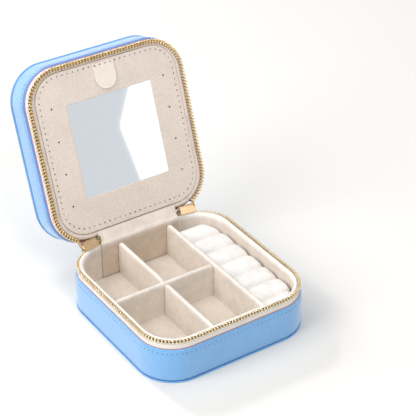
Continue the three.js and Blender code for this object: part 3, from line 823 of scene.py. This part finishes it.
def tape_piece(body, start, up, rim):
    """Tape from under the leather rim to the teeth: a thick line of (inset, z), with a UV map in metres."""
    section = [(ZIP_LINE, rim - 0.4 * MM * up), (ZIP_LINE + 0.05 * MM, rim + 0.8 * MM * up),
               (ZIP_LINE, rim + 2.2 * MM * up), (ZIP_LINE, PARTING - 1.6 * MM * up)]
    thick = 0.4 * MM
    line = [Vector(p) for p in section]
    sideways = [Vector((-d.y, d.x)) * thick / 2 for d in directions(line)]
    pairs = list(zip(line, sideways))
    loop = [tuple(p + side) for p, side in pairs] + [tuple(p - side) for p, side in reversed(pairs)]
    tape = skin(zip_rows(start, loop))
    obj = piece(f"{body}_tape", tape, cream_tape, body, stands_for=f"{body}_zip_tape", sharp=60)
    route = zip_line(start, section[0][0])
    along = np.concatenate([[0], np.cumsum(np.linalg.norm(np.diff(route, axis=0), axis=1))])
    lengths = [(p - line[0]).length for p in line]
    v_of = lengths + lengths[::-1]
    uv = obj.data.uv_layers.new(name="tape")
    size = len(loop)
    for polygon in obj.data.polygons:
        for corner in polygon.loop_indices:
            vertex = obj.data.loops[corner].vertex_index
            uv.data[corner].uv = (along[vertex // size], v_of[vertex % size])


def tooth_frames(start, up, inset, z, twist=0.0):
    """Where the teeth of a row stand. The row points up (1) or down (-1), and both rows share one count,
    so that they mesh when the case is shut."""
    last_y = CASE.back - CORNER + (CORNER - ZIP_LINE) * math.cos(math.radians(start))
    frames = []
    for p, along, out in walk(zip_line(BASE_ZIP_START, ZIP_LINE), TOOTH_PITCH, first=0.5 if up > 0 else 0):
        if p.y < last_y:
            turn = Matrix.Rotation(random.uniform(-twist, twist), 4, "Z")
            frames.append(frame_at(p - out * (inset - ZIP_LINE) + UP * z, along * up, UP * up) @ turn)
    return frames


def teeth_piece(body, start, up, material):
    teeth = scatter(tooth_unit(), tooth_frames(start, up, ZIP_LINE, PARTING, 0.03))
    piece(f"{body}_teeth", teeth, material, body, stands_for=f"{body}_zip_teeth", sharp=40)


base_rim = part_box("base_side_cover")[1].z
lid_rim = shut_box("lid_side_cover")[0].z
tape_piece("base", BASE_ZIP_START, 1, base_rim)
tape_piece("lid", LID_ZIP_START, -1, lid_rim)
teeth_piece("base", BASE_ZIP_START, 1, painted_light_brass)
teeth_piece("lid", LID_ZIP_START, -1, brass_teeth)


def jaw_unit():
    """The inner end of a tooth, where it is clamped on the tape's corded edge."""
    shape = [(-0.5, 0.3, 0.3), (-0.35, 0.55, 0.52), (0.0, 0.62, 0.62), (0.3, 0.56, 0.55), (0.45, 0.3, 0.3)]
    return skin([squared_ring(along * MM, across * MM, z * MM) for z, along, across in shape])


def zip_cord(body, start, up, inset, wide):
    """The corded edge of the tape, with the jaws of the teeth that are clamped on it."""
    tall = 0.42 * MM
    z = PARTING - up * CORD_FROM_PARTING
    rows = zip_rows(start, oval(inset, z, wide, tall, 10))
    piece(f"{body}_zip_cord", skin(rows), dark_cord, body)
    squash = Matrix.Diagonal((1, wide / (0.62 * MM), 1, 1))
    frames = [frame @ squash for frame in tooth_frames(start, up, inset, z + up * 0.12 * MM)]
    piece(f"{body}_tooth_jaws", scatter(jaw_unit(), frames), brass_teeth, body, sharp=40)


zip_cord("base", BASE_ZIP_START, 1, 2.1 * MM, 0.5 * MM)
zip_cord("lid", LID_ZIP_START, -1, 2.5 * MM, 0.75 * MM)


def zip_end(side):
    """The short closed piece of zip between the hinge strip and the slider: tape and interlocked teeth, both
    painted dark as shade.
    """
    low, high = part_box(f"zip_end_{side}")
    sign = -1 if side == "left" else 1
    cx, cy, reach = CASE.x - CORNER, CASE.back - CORNER, CORNER - ZIP_LINE
    near = min(abs(low.x), abs(high.x))
    turns = np.radians(90 - np.linspace(0, BASE_ZIP_START - 1, 8))
    arc = [(sign * (cx + reach * math.cos(t)), cy + reach * math.sin(t)) for t in turns]
    route = np.array([(sign * (near - 1.2 * MM), arc[0][1]), *arc])
    slope = Vector((0, math.cos(SLIDER_LEAN), math.sin(SLIDER_LEAN)))
    foot = Vector((sign * (near + 1.0 * MM), arc[0][1] - 1.2 * MM, PARTING + 0.5 * MM))
    frames = []
    for k in range(5):
        along = slope if k % 2 else -slope
        tooth = frame_at(foot + slope * 0.95 * MM * k, along, (1 if k % 2 else -1, 0, 0))
        frames.append(tooth @ Matrix.Scale(0.62, 4))
    piece(f"zip_end_{side}_teeth", scatter(tooth_unit(), frames), painted_shade_brass, "base", sharp=40)
    half = 0.25 * MM
    rows = []
    for p, along, out in walk(route, 0.8 * MM):
        beside_slider = abs(p.x) > near + 1.0 * MM
        a, b = p + out * half, p - out * half
        lean = out * 1.1 * MM
        foot, top = UP * low.z, UP * (PARTING + 0.2 * MM if beside_slider else high.z + 2.4 * MM)
        middle = UP * (PARTING + 0.1 * MM if beside_slider else high.z)
        rows.append([a + foot, a + middle, a + lean + top, b + lean + top, b + middle, b + foot])
    piece(f"zip_end_{side}_tape", skin(rows), shadow_tape, "base", stands_for=f"zip_end_{side}", sharp=40)


zip_end("left")
zip_end("right")


# ---- tray dividers
def divider(node, along_x):
    """A card wrapped in velvet: full rounded top, soft corners where its top meets its ends."""
    low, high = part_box(node)
    tuck = 0.45 * MM
    start, end = (low.x - tuck, high.x + tuck) if along_x else (low.y - tuck, high.y + tuck)
    middle = (low.y + high.y) / 2 if along_x else (low.x + high.x) / 2
    half = (high.y - low.y) / 2 if along_x else (high.x - low.x) / 2
    corner, nose, length = 3.0 * MM, 0.9 * MM, end - start
    stations = [0.0] + [nose * (1 - math.cos(a)) for a in half_turn(8, 1, 4)]
    stations += [corner * (0.45 + 0.55 * i / 5) for i in range(6)]
    count = max(6, round(length / (3 * MM)))
    inner = [corner + (length - 2 * corner) * i / count for i in range(1, count)]
    stations = stations + inner + [length - s for s in reversed(stations)]
    rows = []
    for s in stations:
        near = min(s, length - s)
        thin = half * (0.35 + 0.65 * math.sqrt(max(0.0, 1 - (1 - min(near / nose, 1)) ** 2)))
        drop = corner - math.sqrt(max(0.0, corner ** 2 - (corner - min(near, corner)) ** 2))
        top = high.z - drop * 0.9
        wave = 0.12 * MM * noise.noise(Vector((start + s, middle, 0)) / (9 * MM))
        shoulder = top - thin
        tall = shoulder - low.z
        right = [(thin * (1 + 0.05 * math.sin(a)), low.z + tall * a / math.pi) for a in half_turn(5, 1)]
        crown = [(thin * math.cos(a), shoulder + thin * math.sin(a)) for a in half_turn(8, 1, 7)]
        left = [(-c, z) for c, z in reversed(right)]
        profile = [(-thin, low.z - 0.3 * MM), (thin, low.z - 0.3 * MM), *right, *crown, *left]
        if along_x:
            rows.append([(start + s, middle + c + wave, z) for c, z in profile])
        else:
            rows.append([(middle + c + wave, start + s, z) for c, z in profile])
    piece(f"velvet_{node}", skin(rows), divider_velvet, "base", stands_for=node, sharp=70)


for node in ("divider_long", "divider_cross", "divider_back", "divider_front"):
    divider(node, along_x=node == "divider_cross")


# ---- stuffing
def plump(obj, glued_below):
    """Blows a pad up a little as cloth, and keeps the result. It is simulated at ten times its size, so that
    settings for a cushion suit it. Points below that height stay where they are."""
    scale, cap = 10, 0.35 * MM
    obj.data.transform(Matrix.Scale(scale, 4))
    remesh = obj.modifiers.new("remesh", "REMESH")
    remesh.mode = "VOXEL"
    remesh.voxel_size = 5 * MM
    mesh = settle(obj)
    start = np.array([v.co for v in mesh.vertices], float)
    pins = obj.vertex_groups.new(name="pins")
    pins.add([i for i, co in enumerate(start) if co[2] / scale < glued_below], 1.0, "REPLACE")
    cloth = obj.modifiers.new("stuffing", "CLOTH")
    cloth.settings.use_pressure = True
    cloth.settings.uniform_pressure_force = 4
    cloth.settings.effector_weights.gravity = 0
    cloth.settings.vertex_group_mass = "pins"
    cloth.settings.tension_stiffness = cloth.settings.compression_stiffness = 8
    cloth.point_cache.frame_start, cloth.point_cache.frame_end = 1, CLOTH_FRAMES
    scene = bpy.context.scene
    for step in range(1, CLOTH_FRAMES + 1):
        scene.frame_set(step)
    mesh = settle(obj)
    moved = np.array([v.co for v in mesh.vertices], float) - start
    far = np.linalg.norm(moved, axis=1, keepdims=True)
    moved *= np.minimum(1, cap * scale / np.maximum(far, 1e-9))
    mesh.vertices.foreach_set("co", (start + moved).ravel())
    obj.vertex_groups.clear()
    smooth = obj.modifiers.new("finer", "SUBSURF")
    smooth.levels = smooth.render_levels = 1
    mesh = settle(obj)
    mesh.transform(Matrix.Scale(1 / scale, 4))
    mesh.shade_smooth()
    scene.frame_set(1)


def settle(obj):
    """Turns what the modifiers make into the piece's own mesh, and takes them off."""
    bpy.context.view_layer.update()
    found = obj.evaluated_get(bpy.context.evaluated_depsgraph_get())
    mesh = bpy.data.meshes.new_from_object(found)
    obj.modifiers.clear()
    obj.data = mesh
    return mesh


# ---- ring holder
def wall_reach(y, margin):
    """How far right the tray's lining lets a piece go at that y."""
    ring = base_inner.shrink(margin).ring()
    right = ring[ring[:, 0] > 0]
    order = np.argsort(right[:, 1])
    return float(np.interp(y, right[order, 1], right[order, 0]))


FLAT_BELOW = 0.3             # the power that makes a pad's underside nearly flat


def pad(name, node, crown_power, end_round, share=1.0):
    """A stuffed roll along X: crowned across and rounded down at its right end. Its height is share times
    its node's."""
    low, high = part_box(node)
    centre, half = (low.y + high.y) / 2, (high.y - low.y) / 2 + 0.12 * MM
    tall = (high.z - low.z) * share
    columns = 26
    rows = []
    for i in range(columns + 1):
        t = i / columns
        ease = 0.5 - 0.5 * math.cos(math.pi * t)
        rows.append([])
        for turn in angles(28, 0.5):
            across = squared(math.cos(turn), crown_power)
            up = squared(math.sin(turn), crown_power if math.sin(turn) > 0 else FLAT_BELOW)
            y = centre + half * across
            right = min(wall_reach(centre + half * across * 0.8, 0.5 * MM), high.x)
            near = min(t, 1 - t) * (right - low.x)
            shoulder = min(near / (end_round if t > 0.5 else 1.2 * MM), 1.0)
            fall = math.sqrt(max(0.0, 1 - (1 - shoulder) ** 2))
            x = low.x + (right - low.x) * (t + 0.35 * (ease - t))
            rise = tall / 2 * up * (fall if up > 0 else 1.0)
            pull = 0.97 + 0.03 * fall
            lump = 0.16 * MM * noise.noise(Vector((x, y, turn * 2 * MM)) / (5 * MM))
            z = low.z + tall / 2 + rise + (lump if up > 0 else 0)
            rows[-1].append((x, centre + (y - centre) * pull, z))
    obj = piece(name, skin(rows), roll_velvet, "base", stands_for=node, sharp=80)
    plump(obj, low.z + 1.2 * MM)


for i in range(1, 7):
    pad(f"velvet_ring_roll_{i}", f"ring_roll_{i}", 0.62, 8.0 * MM)
pad("velvet_ring_front", "ring_front_block", 0.25, 3.0 * MM)
pad("velvet_ring_back", "ring_back_block", 0.3, 3.0 * MM, share=0.6)


# ---- hinge strips
def opened_point(y, z):
    moved = OPENED @ Vector((0, y, z))
    return (moved.y, moved.z)


def smooth_line(points, count):
    """A Catmull-Rom line through points, as count + 1 points."""
    p = [Vector(q) for q in points]
    p = [p[0] * 2 - p[1], *p, p[-1] * 2 - p[-2]]
    line = []
    for i in range(count + 1):
        at = i / count * (len(p) - 3)
        k = min(int(at), len(p) - 4)
        t = at - k
        a, b, c, d = p[k:k + 4]
        square, cube = 2 * a - 5 * b + 4 * c - d, 3 * b - a - 3 * c + d
        line.append(0.5 * (2 * b + (c - a) * t + square * t ** 2 + cube * t ** 3))
    return line


def hinge_sheet(name, node, points, thick, material, wrinkle, half):
    """Cloth or leather across the hinge: a thin closed sheet along a line of (y, z). Returns its length."""
    line = smooth_line(points, 60)
    across = 40
    rows = []
    length = sum((b - a).length for a, b in zip(line, line[1:]))
    sides = [Vector((-d.y, d.x)) for d in directions(line)]
    for k in range(across + 1):
        x = -half + 2 * half * k / across
        top, under = [], []
        for i, (p, side) in enumerate(zip(line, sides)):
            t = i / (len(line) - 1)
            crease = noise.noise(Vector((x / (14 * MM), t * 7, 3.1)))
            sway = 1.4 * noise.noise(Vector((x / (10 * MM), 0, 0)))
            q = p + side * wrinkle * math.sin(math.pi * t) * (crease + 0.5 * math.sin(t * 34 + sway))
            top.append((x, *(q + side * thick / 2)))
            under.append((x, *(q - side * thick / 2)))
        rows.append(top + under[::-1])
    return piece(name, skin(rows), material, None, stands_for=node, sharp=70), length


low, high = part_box("hinge_lining")
strip_half = high.x
back_wall = base_inner.back
lining_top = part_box("base_lining_wall")[1].z
lid_edge = lid_inner.back
strip_line = [
    (back_wall - 0.5 * MM, low.z),
    (back_wall - 0.5 * MM, low.z + 12 * MM),
    (back_wall - 0.45 * MM, lining_top - 1.2 * MM),
    (back_wall + 0.1 * MM, lining_top + 0.35 * MM),
    (back_wall + 1.2 * MM, lining_top + 1.4 * MM),
    opened_point(lid_edge + 0.6 * MM, PARTING + 0.5 * MM),
]
hinge_strip, length = hinge_sheet("velvet_hinge_strip", "hinge_lining", strip_line, 0.35 * MM, strip_velvet,
                                  0.14 * MM, strip_half)
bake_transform(hinge_strip)

cover_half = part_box("hinge_cover")[1].x
cover_line = [
    (hinge.y - LEATHER / 2, base_rim - 0.1 * MM),
    (hinge.y - LEATHER / 2 + 0.3 * MM, base_rim + 1.4 * MM),
    (hinge.y + 1.6 * MM, base_rim + 3.2 * MM),
    opened_point(hinge.y - LEATHER / 2 + 0.2 * MM, lid_rim - 1.4 * MM),
    opened_point(hinge.y - LEATHER / 2, lid_rim + 0.1 * MM),
]
leather_hinge, length = hinge_sheet("leather_hinge_strip", "hinge_cover", cover_line, 0.8 * MM, blue_leather,
                                    0.05 * MM, cover_half)
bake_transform(leather_hinge)


# ---- mirror flap
low, high = shut_box("flap_cover")
flap_outline = Outline(high.x, low.y, high.y, 15.6 * MM, 15.6 * MM)
mirror_low, mirror_high = shut_box("flap_mirror")
EARRING_HOLES = {"x": 35.6 * MM, "first": -28.2 * MM, "pitch": 18.5 * MM, "radius": 0.55 * MM}


def mirror_loop(gap):
    """The mirror's outline, grown by a gap."""
    low, high = mirror_low, mirror_high
    return rounded_loop(low.x - gap, high.x + gap, low.y - gap, high.y + gap, 0.9 * MM)


hole_ys = [EARRING_HOLES["first"] + i * EARRING_HOLES["pitch"] for i in range(4)]
radius = EARRING_HOLES["radius"]
holes = [oval(sign * EARRING_HOLES["x"], y, radius, radius, 16) for sign in (-1, 1) for y in hole_ys]
mesh = flat_plate(flap_outline.ring().tolist(), [mirror_loop(0.02 * MM), *holes], low.z, high.z, 0.22 * MM)
dress("flap_panel", mesh, panel_leather, "flap", stands_for="flap_cover", sharp=50)
mesh = flat_plate(mirror_loop(0), [], mirror_low.z, mirror_high.z, 0.04 * MM)
dress("flap_mirror_glass", mesh, mirror_silver, "flap", stands_for="flap_mirror", sharp=20)

back_low, back_high = shut_box("flap_back")
mesh = flat_plate(flap_outline.ring().tolist(), holes, back_low.z, back_high.z, 0.2 * MM)
dress("flap_velvet_back", mesh, cream_velvet, "flap", stands_for="flap_back", sharp=50)


def flap_fold():
    """The cloth that holds the flap's lower edge: a thin, slightly wavy fold, coloured dark brown as painted
    shadow of the gap there.
    """
    low, high = shut_box("flap_hinge_strip")
    thick, middle = (high.y - low.y) / 2, (high.y + low.y) / 2
    columns = 56
    rows = []
    for i in range(columns + 1):
        x = low.x + (high.x - low.x) * i / columns
        sway = 0.06 * MM * noise.noise(Vector((x / (6 * MM), 0, 0)))
        ring = squared_ring(thick, (high.z - low.z) / 2, x)
        rows.append([(x, middle + sway + y, (high.z + low.z) / 2 + z) for y, z, x in ring])
    piece("flap_cloth_hinge", skin(rows), gap_shadow_velvet, "flap", stands_for="flap_hinge_strip", sharp=60)


flap_fold()

DOT_PITCH = 3.3 * MM
DOT_ROW = Outline(42.3 * MM, -44.7 * MM, 41.8 * MM, 13.4 * MM, 13.4 * MM)   # the stitches round the flap
tab_low, tab_high = shut_box("flap_pull_tab")
dot_shape = [(1.0, -0.15), (1.0, 0.03), (0.75, 0.1), (0.3, 0.13)]
dot = skin([[(x, y, h * MM) for x, y in oval(0, 0, 0.46 * MM * r, 0.33 * MM * r, 10)] for r, h in dot_shape])
frames = []
for p, along, out in closed_walk(DOT_ROW.ring(), DOT_PITCH):
    on_tab = abs(p.x) < tab_high.x and p.y < tab_low.y + 1 * MM
    height = UP * (tab_low.z - 0.3 * MM if on_tab else low.z)
    frames.append(frame_at(p + height, along, -UP) @ Matrix.Scale(random.uniform(0.8, 1.15), 4))
piece("flap_stitches", scatter(dot, frames), dark_thread, "flap")


def pull_tab():
    """The D-shaped tab: it lies on the panel where it is sewn, and its free end lifts a little."""
    half, top, tip = tab_high.x, tab_low.y - 0.9 * MM, tab_high.y
    loop = [(-half, top), (half, top)]
    loop += [(half * math.cos(a), tip - half + half * math.sin(a)) for a in half_turn(24)]
    mesh = flat_plate(loop, [], tab_low.z, tab_high.z, 0.18 * MM)
    work = bmesh.new()
    work.from_mesh(mesh)
    bmesh.ops.triangulate(work, faces=work.faces)
    for _ in range(3):
        long_edges = [e for e in work.edges if e.calc_length() > 1.6 * MM]
        bmesh.ops.subdivide_edges(work, edges=long_edges, cuts=1)
        bmesh.ops.triangulate(work, faces=work.faces)
    for v in work.verts:
        t = max(0.0, (v.co.y - top) / (tip - top))
        v.co.z -= 0.5 * MM * t ** 2 - 0.2 * MM * (1 - t)
    work.to_mesh(mesh)
    work.free()
    dress("flap_tab", mesh, tab_leather, "flap", stands_for="flap_pull_tab", sharp=50)


pull_tab()


# ---- sliders and pulls
def carriage_matrix(side):
    """A matrix that places things drawn with +Y outwards at the slider's middle, and how far out the pull's
    axis is from there."""
    sign = -1 if side == "left" else 1
    centre = Vector((sign * (CASE.x - CORNER), CASE.back - CORNER, 0))
    swing = Vector(joints[f"pull_{side}_swing"]["pos_m"])
    out = Vector((swing.x - centre.x, swing.y - centre.y, 0)).normalized()
    matrix = frame_at(centre + out * CORNER, (out.y, -out.x, 0), (0, 0, 1))
    matrix.translation.z = PARTING
    return matrix, (swing - matrix.translation).dot(out)


def slider_outline(length, height, nose):
    """Side view of a slider's plate: broad at one end and drawn in at the other, all corners round."""
    points = []
    for turn in angles(48):
        along = squared(math.cos(turn), 0.7)
        squeeze = 1 - nose * max(0.0, -along) ** 1.5
        points.append((length / 2 * along, height / 2 * squared(math.sin(turn), 0.6) * squeeze))
    return points


UPRIGHT = Matrix.Rotation(math.radians(90), 4, "X")     # a plate drawn in X and Y stands up facing -Y
SLIDER_FACE = {"length": 9.4 * MM, "height": 7.4 * MM, "nose": 0.25, "thick": 1.0 * MM, "out": 1.2 * MM}
SLIDER_INSIDE = {"x": (-5.6 * MM, 5.0 * MM), "y": (-2.3 * MM, 2.3 * MM), "corner": 1.9 * MM,
                 "thick": 0.8 * MM}
SLIDER_TOP = {"x": (-5.2 * MM, 4.7 * MM), "y": (-0.3 * MM, 0.7 * MM), "corner": 0.66 * MM,
              "z": (0.35 * MM, 3.6 * MM)}
CROWN = {"half_length": 2.9 * MM, "foot": 0.9 * MM, "half_thick": 0.45 * MM, "half_height": 0.7 * MM}
PULL = {"half": 2.6 * MM, "tip": 1.4 * MM, "neck": 1.5 * MM, "neck_drop": 1.3 * MM, "shoulder_drop": 3.6 * MM}
PULL_EYE = {"radius": 1.3 * MM, "half_thick": 0.4 * MM, "half_width": 1.5 * MM}


def bar_section(middle, wide, deep):
    """One oval section of a bar. Its half width and half depth are vectors."""
    return [middle + wide * math.cos(a) + deep * math.sin(a) for a in angles(10)]


def slider(side):
    """Two plates, the bar that joins them over the tape, and the crown that the pull hangs from."""
    matrix, bar = carriage_matrix(side)
    body = f"slider_{side}"
    mirror = Matrix.Scale(-1 if side == "left" else 1, 4, (1, 0, 0))
    outline = slider_outline(SLIDER_FACE["length"], SLIDER_FACE["height"], SLIDER_FACE["nose"])
    outer = flat_plate(outline, [], 0, SLIDER_FACE["thick"], 0.3 * MM)
    outer.transform(matrix @ mirror @ Matrix.Translation((0, SLIDER_FACE["out"], 0)) @ UPRIGHT)
    dress(f"slider_{side}_face", outer, gold_slider, body, stands_for=body, sharp=40)
    outline = rounded_loop(*SLIDER_INSIDE["x"], *SLIDER_INSIDE["y"], SLIDER_INSIDE["corner"])
    inner = flat_plate(outline, [], 0, SLIDER_INSIDE["thick"], 0.22 * MM)
    lean = Matrix.Rotation(SLIDER_LEAN, 4, "X")
    inner.transform(matrix @ mirror @ Matrix.Translation((0, -1.3 * MM, 1.6 * MM)) @ lean)
    dress(f"slider_{side}_inside", inner, gold_slider, body, sharp=40)
    # The top block takes the darker brass: painted shade.
    outline = rounded_loop(*SLIDER_TOP["x"], *SLIDER_TOP["y"], SLIDER_TOP["corner"], 5)
    top = flat_plate(outline, [], *SLIDER_TOP["z"], 0.3 * MM)
    top.transform(matrix @ mirror)
    dress(f"slider_{side}_top", top, painted_shade_brass, body, sharp=40)
    foot, reach = CROWN["foot"], bar - 0.85 * MM
    heights = [(t, foot + reach * min(1.0, 1.25 * math.sin(t))) for t in half_turn(16)]
    arch = [Vector((CROWN["half_length"] * math.cos(t), y, 0)) for t, y in heights]
    rows = []
    for p, direction in zip(arch, directions(arch)):
        sideways = Vector((-direction.y, direction.x, 0)) * CROWN["half_thick"]
        rows.append([matrix @ q for q in bar_section(p, sideways, UP * CROWN["half_height"])])
    piece(f"slider_{side}_crown", skin(rows), gold_slider, body, sharp=50)


def pull(side):
    """Hangs from the crown: a bent eye, and a flat tongue with a round hole near the top and a slot below."""
    matrix, bar = carriage_matrix(side)
    body = f"pull_{side}"
    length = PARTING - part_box(body)[0].z
    half, tip = PULL["half"], PULL["tip"]
    neck = [(-PULL["neck"], -PULL["neck_drop"]), (-half * 0.86, -PULL["shoulder_drop"])]
    end = [(-half + tip - tip * math.cos(a), -length + tip - tip * math.sin(a)) for a in half_turn(12, 0, 6)]
    left = [*neck, *end]
    loop = [*left, *((-x, y) for x, y in reversed(left))]
    holes = [oval(0, -3.8 * MM, 1.0 * MM, 1.0 * MM, 16),
             rounded_loop(-1.35 * MM, 1.35 * MM, -length + 1.5 * MM, -length + 5.8 * MM, 0.35 * MM, 4)]
    blade = flat_plate(loop, holes, -0.5 * MM, 0.5 * MM, 0.22 * MM)
    blade.transform(matrix @ Matrix.Translation((0, bar, 0)) @ UPRIGHT)
    dress(f"pull_{side}_tongue", blade, gold_slider, body, stands_for=body, sharp=40)
    rows = []
    for turn in angles(24):
        out = Vector((0, math.cos(turn), math.sin(turn)))
        ring = []
        for a in angles(12):
            middle = Vector((PULL_EYE["half_width"] * squared(math.sin(a)), bar, 0))
            ring.append(matrix @ (middle + out * (PULL_EYE["radius"] + PULL_EYE["half_thick"] * math.cos(a))))
        rows.append(ring)
    piece(f"pull_{side}_eye", skin(rows, looped=True), gold_slider, body, sharp=50)


def zip_bridge(side):
    """Where the zip splits: the lid's half of it comes up out of the slider's open end."""
    matrix, _ = carriage_matrix(side)
    sign = -1 if side == "left" else 1
    start = matrix @ Vector((sign * 4.3 * MM, -0.9 * MM, 1.2 * MM))
    turn, reach = math.radians(LID_ZIP_START + 1), CORNER - ZIP_LINE
    end = OPENED @ Vector((
        sign * (CASE.x - CORNER + reach * math.sin(turn)),
        CASE.back - CORNER + reach * math.cos(turn),
        PARTING + CORD_FROM_PARTING,
    ))
    bend = (start + end) / 2 + Vector((sign * 0.5 * MM, -0.3 * MM, 0.3 * MM))
    along = (end - start).normalized()
    across = along.cross(Vector((0, 1, 0))).normalized()
    depth = along.cross(across)
    rows = []
    for i in range(13):
        t = i / 12
        p = start * (1 - t) ** 2 + bend * 2 * t * (1 - t) + end * t ** 2
        rib = 1 + 0.12 * math.sin(t * 8 * math.pi)
        rows.append(bar_section(p, across * 0.85 * MM * rib, depth * 0.5 * MM * rib))
    bridge = piece(f"zip_bridge_{side}", skin(rows), tan_cord, None, sharp=60)
    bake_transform(bridge)


for side in ("left", "right"):
    slider(side)
    pull(side)
    zip_bridge(side)


# ---- camera, light and floor
def look(obj, target):
    obj.rotation_mode = "QUATERNION"
    obj.rotation_quaternion = (Vector(target) - obj.location).to_track_quat("-Z", "Y")


AZIMUTH, ELEVATION, DISTANCE = math.radians(-33.83), math.radians(33.03), 0.87305
AIM = Vector((0.0500, 0.0546, 0.020))
camera_data = bpy.data.cameras.new("camera")
camera_data.lens = 129.26
camera_data.sensor_width = 36.0
camera_data.clip_start, camera_data.clip_end = 0.05, 30
camera = bpy.data.objects.new("camera", camera_data)
bpy.context.scene.collection.objects.link(camera)
level_part = math.cos(ELEVATION)
back = Vector((math.sin(AZIMUTH) * level_part, -math.cos(AZIMUTH) * level_part, math.sin(ELEVATION)))
camera.location = AIM + back * DISTANCE
look(camera, AIM)
bpy.context.scene.camera = camera


def area_light(name, place, target, size, power, color=(1, 1, 1)):
    data = bpy.data.lights.new(name, "AREA")
    data.shape = "SQUARE"
    data.size = size
    data.energy = power
    data.color = color
    light = bpy.data.objects.new(name, data)
    light.location = place
    look(light, target)
    bpy.context.scene.collection.objects.link(light)


CENTRE = (0, 0.02, 0.03)
area_light("back", (-0.10, 1.28, 1.02), CENTRE, 0.22, 10.5)
area_light("front", (-0.10, -1.15, 1.20), CENTRE, 0.5, 6.9)
area_light("left", (-1.10, 0.05, 0.85), CENTRE, 0.9, 12.2, (1.0, 0.99, 0.97))
area_light("top", (0.1, 0.1, 1.7), CENTRE, 1.2, 7.2)


def staged(name, mesh):
    obj = bpy.data.objects.new(name, mesh)
    bpy.context.scene.collection.objects.link(obj)
    return obj


floor = bpy.data.meshes.new("floor")
floor.from_pydata([(-6, -6, 0), (6, -6, 0), (6, 6, 0), (-6, 6, 0)], [], [(0, 1, 2, 3)])
floor_finish = Finish("studio_floor", "foam", (0.785, 0.775, 0.76), 0.7, Specular_IOR_Level=0.1)
floor.materials.append(floor_finish.material)
staged("floor", floor)


def glowing(name, color, strength):
    material = bpy.data.materials.new(name)
    material.use_nodes = True
    tree = material.node_tree
    tree.nodes.clear()
    glow = tree.nodes.new("ShaderNodeEmission")
    glow.inputs["Color"].default_value = (*color, 1)
    glow.inputs["Strength"].default_value = strength
    tree.links.new(glow.outputs[0], tree.nodes.new("ShaderNodeOutputMaterial").inputs["Surface"])
    return material


def lit_card(name, verts, color, strength):
    """A lit card that only reflections see."""
    mesh = bpy.data.meshes.new(name)
    mesh.from_pydata([tuple(v) for v in verts], [], [tuple(range(len(verts)))])
    mesh.materials.append(glowing(name, color, strength))
    card = staged(name, mesh)
    card.visible_camera = card.visible_diffuse = card.visible_shadow = card.visible_transmission = False


def mirror_card(name, outline, distance, color, strength):
    """A card for the mirror. Its outline is in fractions of the mirror, as the camera sees it there."""
    low, high = shut_box("flap_mirror")
    normal = (OPENED.to_3x3() @ -UP).normalized()
    aim = None
    verts = []
    for u, v in outline:
        point = OPENED @ Vector((low.x + (high.x - low.x) * u, high.y + (low.y - high.y) * v, low.z))
        ray = (point - camera.location).normalized()
        ray = ray - 2 * ray.dot(normal) * normal
        aim = aim or ray
        verts.append(point + ray * distance / ray.dot(aim))
    lit_card(name, verts, color, strength)


whole = [(-0.5, -0.5), (1.5, -0.5), (1.5, 1.5), (-0.5, 1.5)]
window_shape = [(0.88, 1.25), (0.56, 0.66), (0.55, 0.60), (0.66, -0.02), (0.72, -0.3), (1.5, -0.3),
                (1.5, 1.25)]
mirror_card("grey_card", whole, 0.62, (0.93, 0.97, 1.0), 0.74)
mirror_card("white_card", window_shape, 0.60, (1.0, 1.0, 1.0), 1.3)
right_of_case = [(1.1, -0.9, 0.15), (1.1, 0.3, 0.15), (1.1, 0.3, 0.9), (1.1, -0.9, 0.9)]
lit_card("side_card", right_of_case, (1.0, 0.96, 0.9), 1.1)

world = bpy.data.worlds.new("studio")
world.use_nodes = True
world.node_tree.nodes["Background"].inputs["Color"].default_value = (1.0, 0.99, 0.975, 1)
world.node_tree.nodes["Background"].inputs["Strength"].default_value = 0.40
bpy.context.scene.world = world
bpy.context.scene.view_settings.view_transform = "Standard"
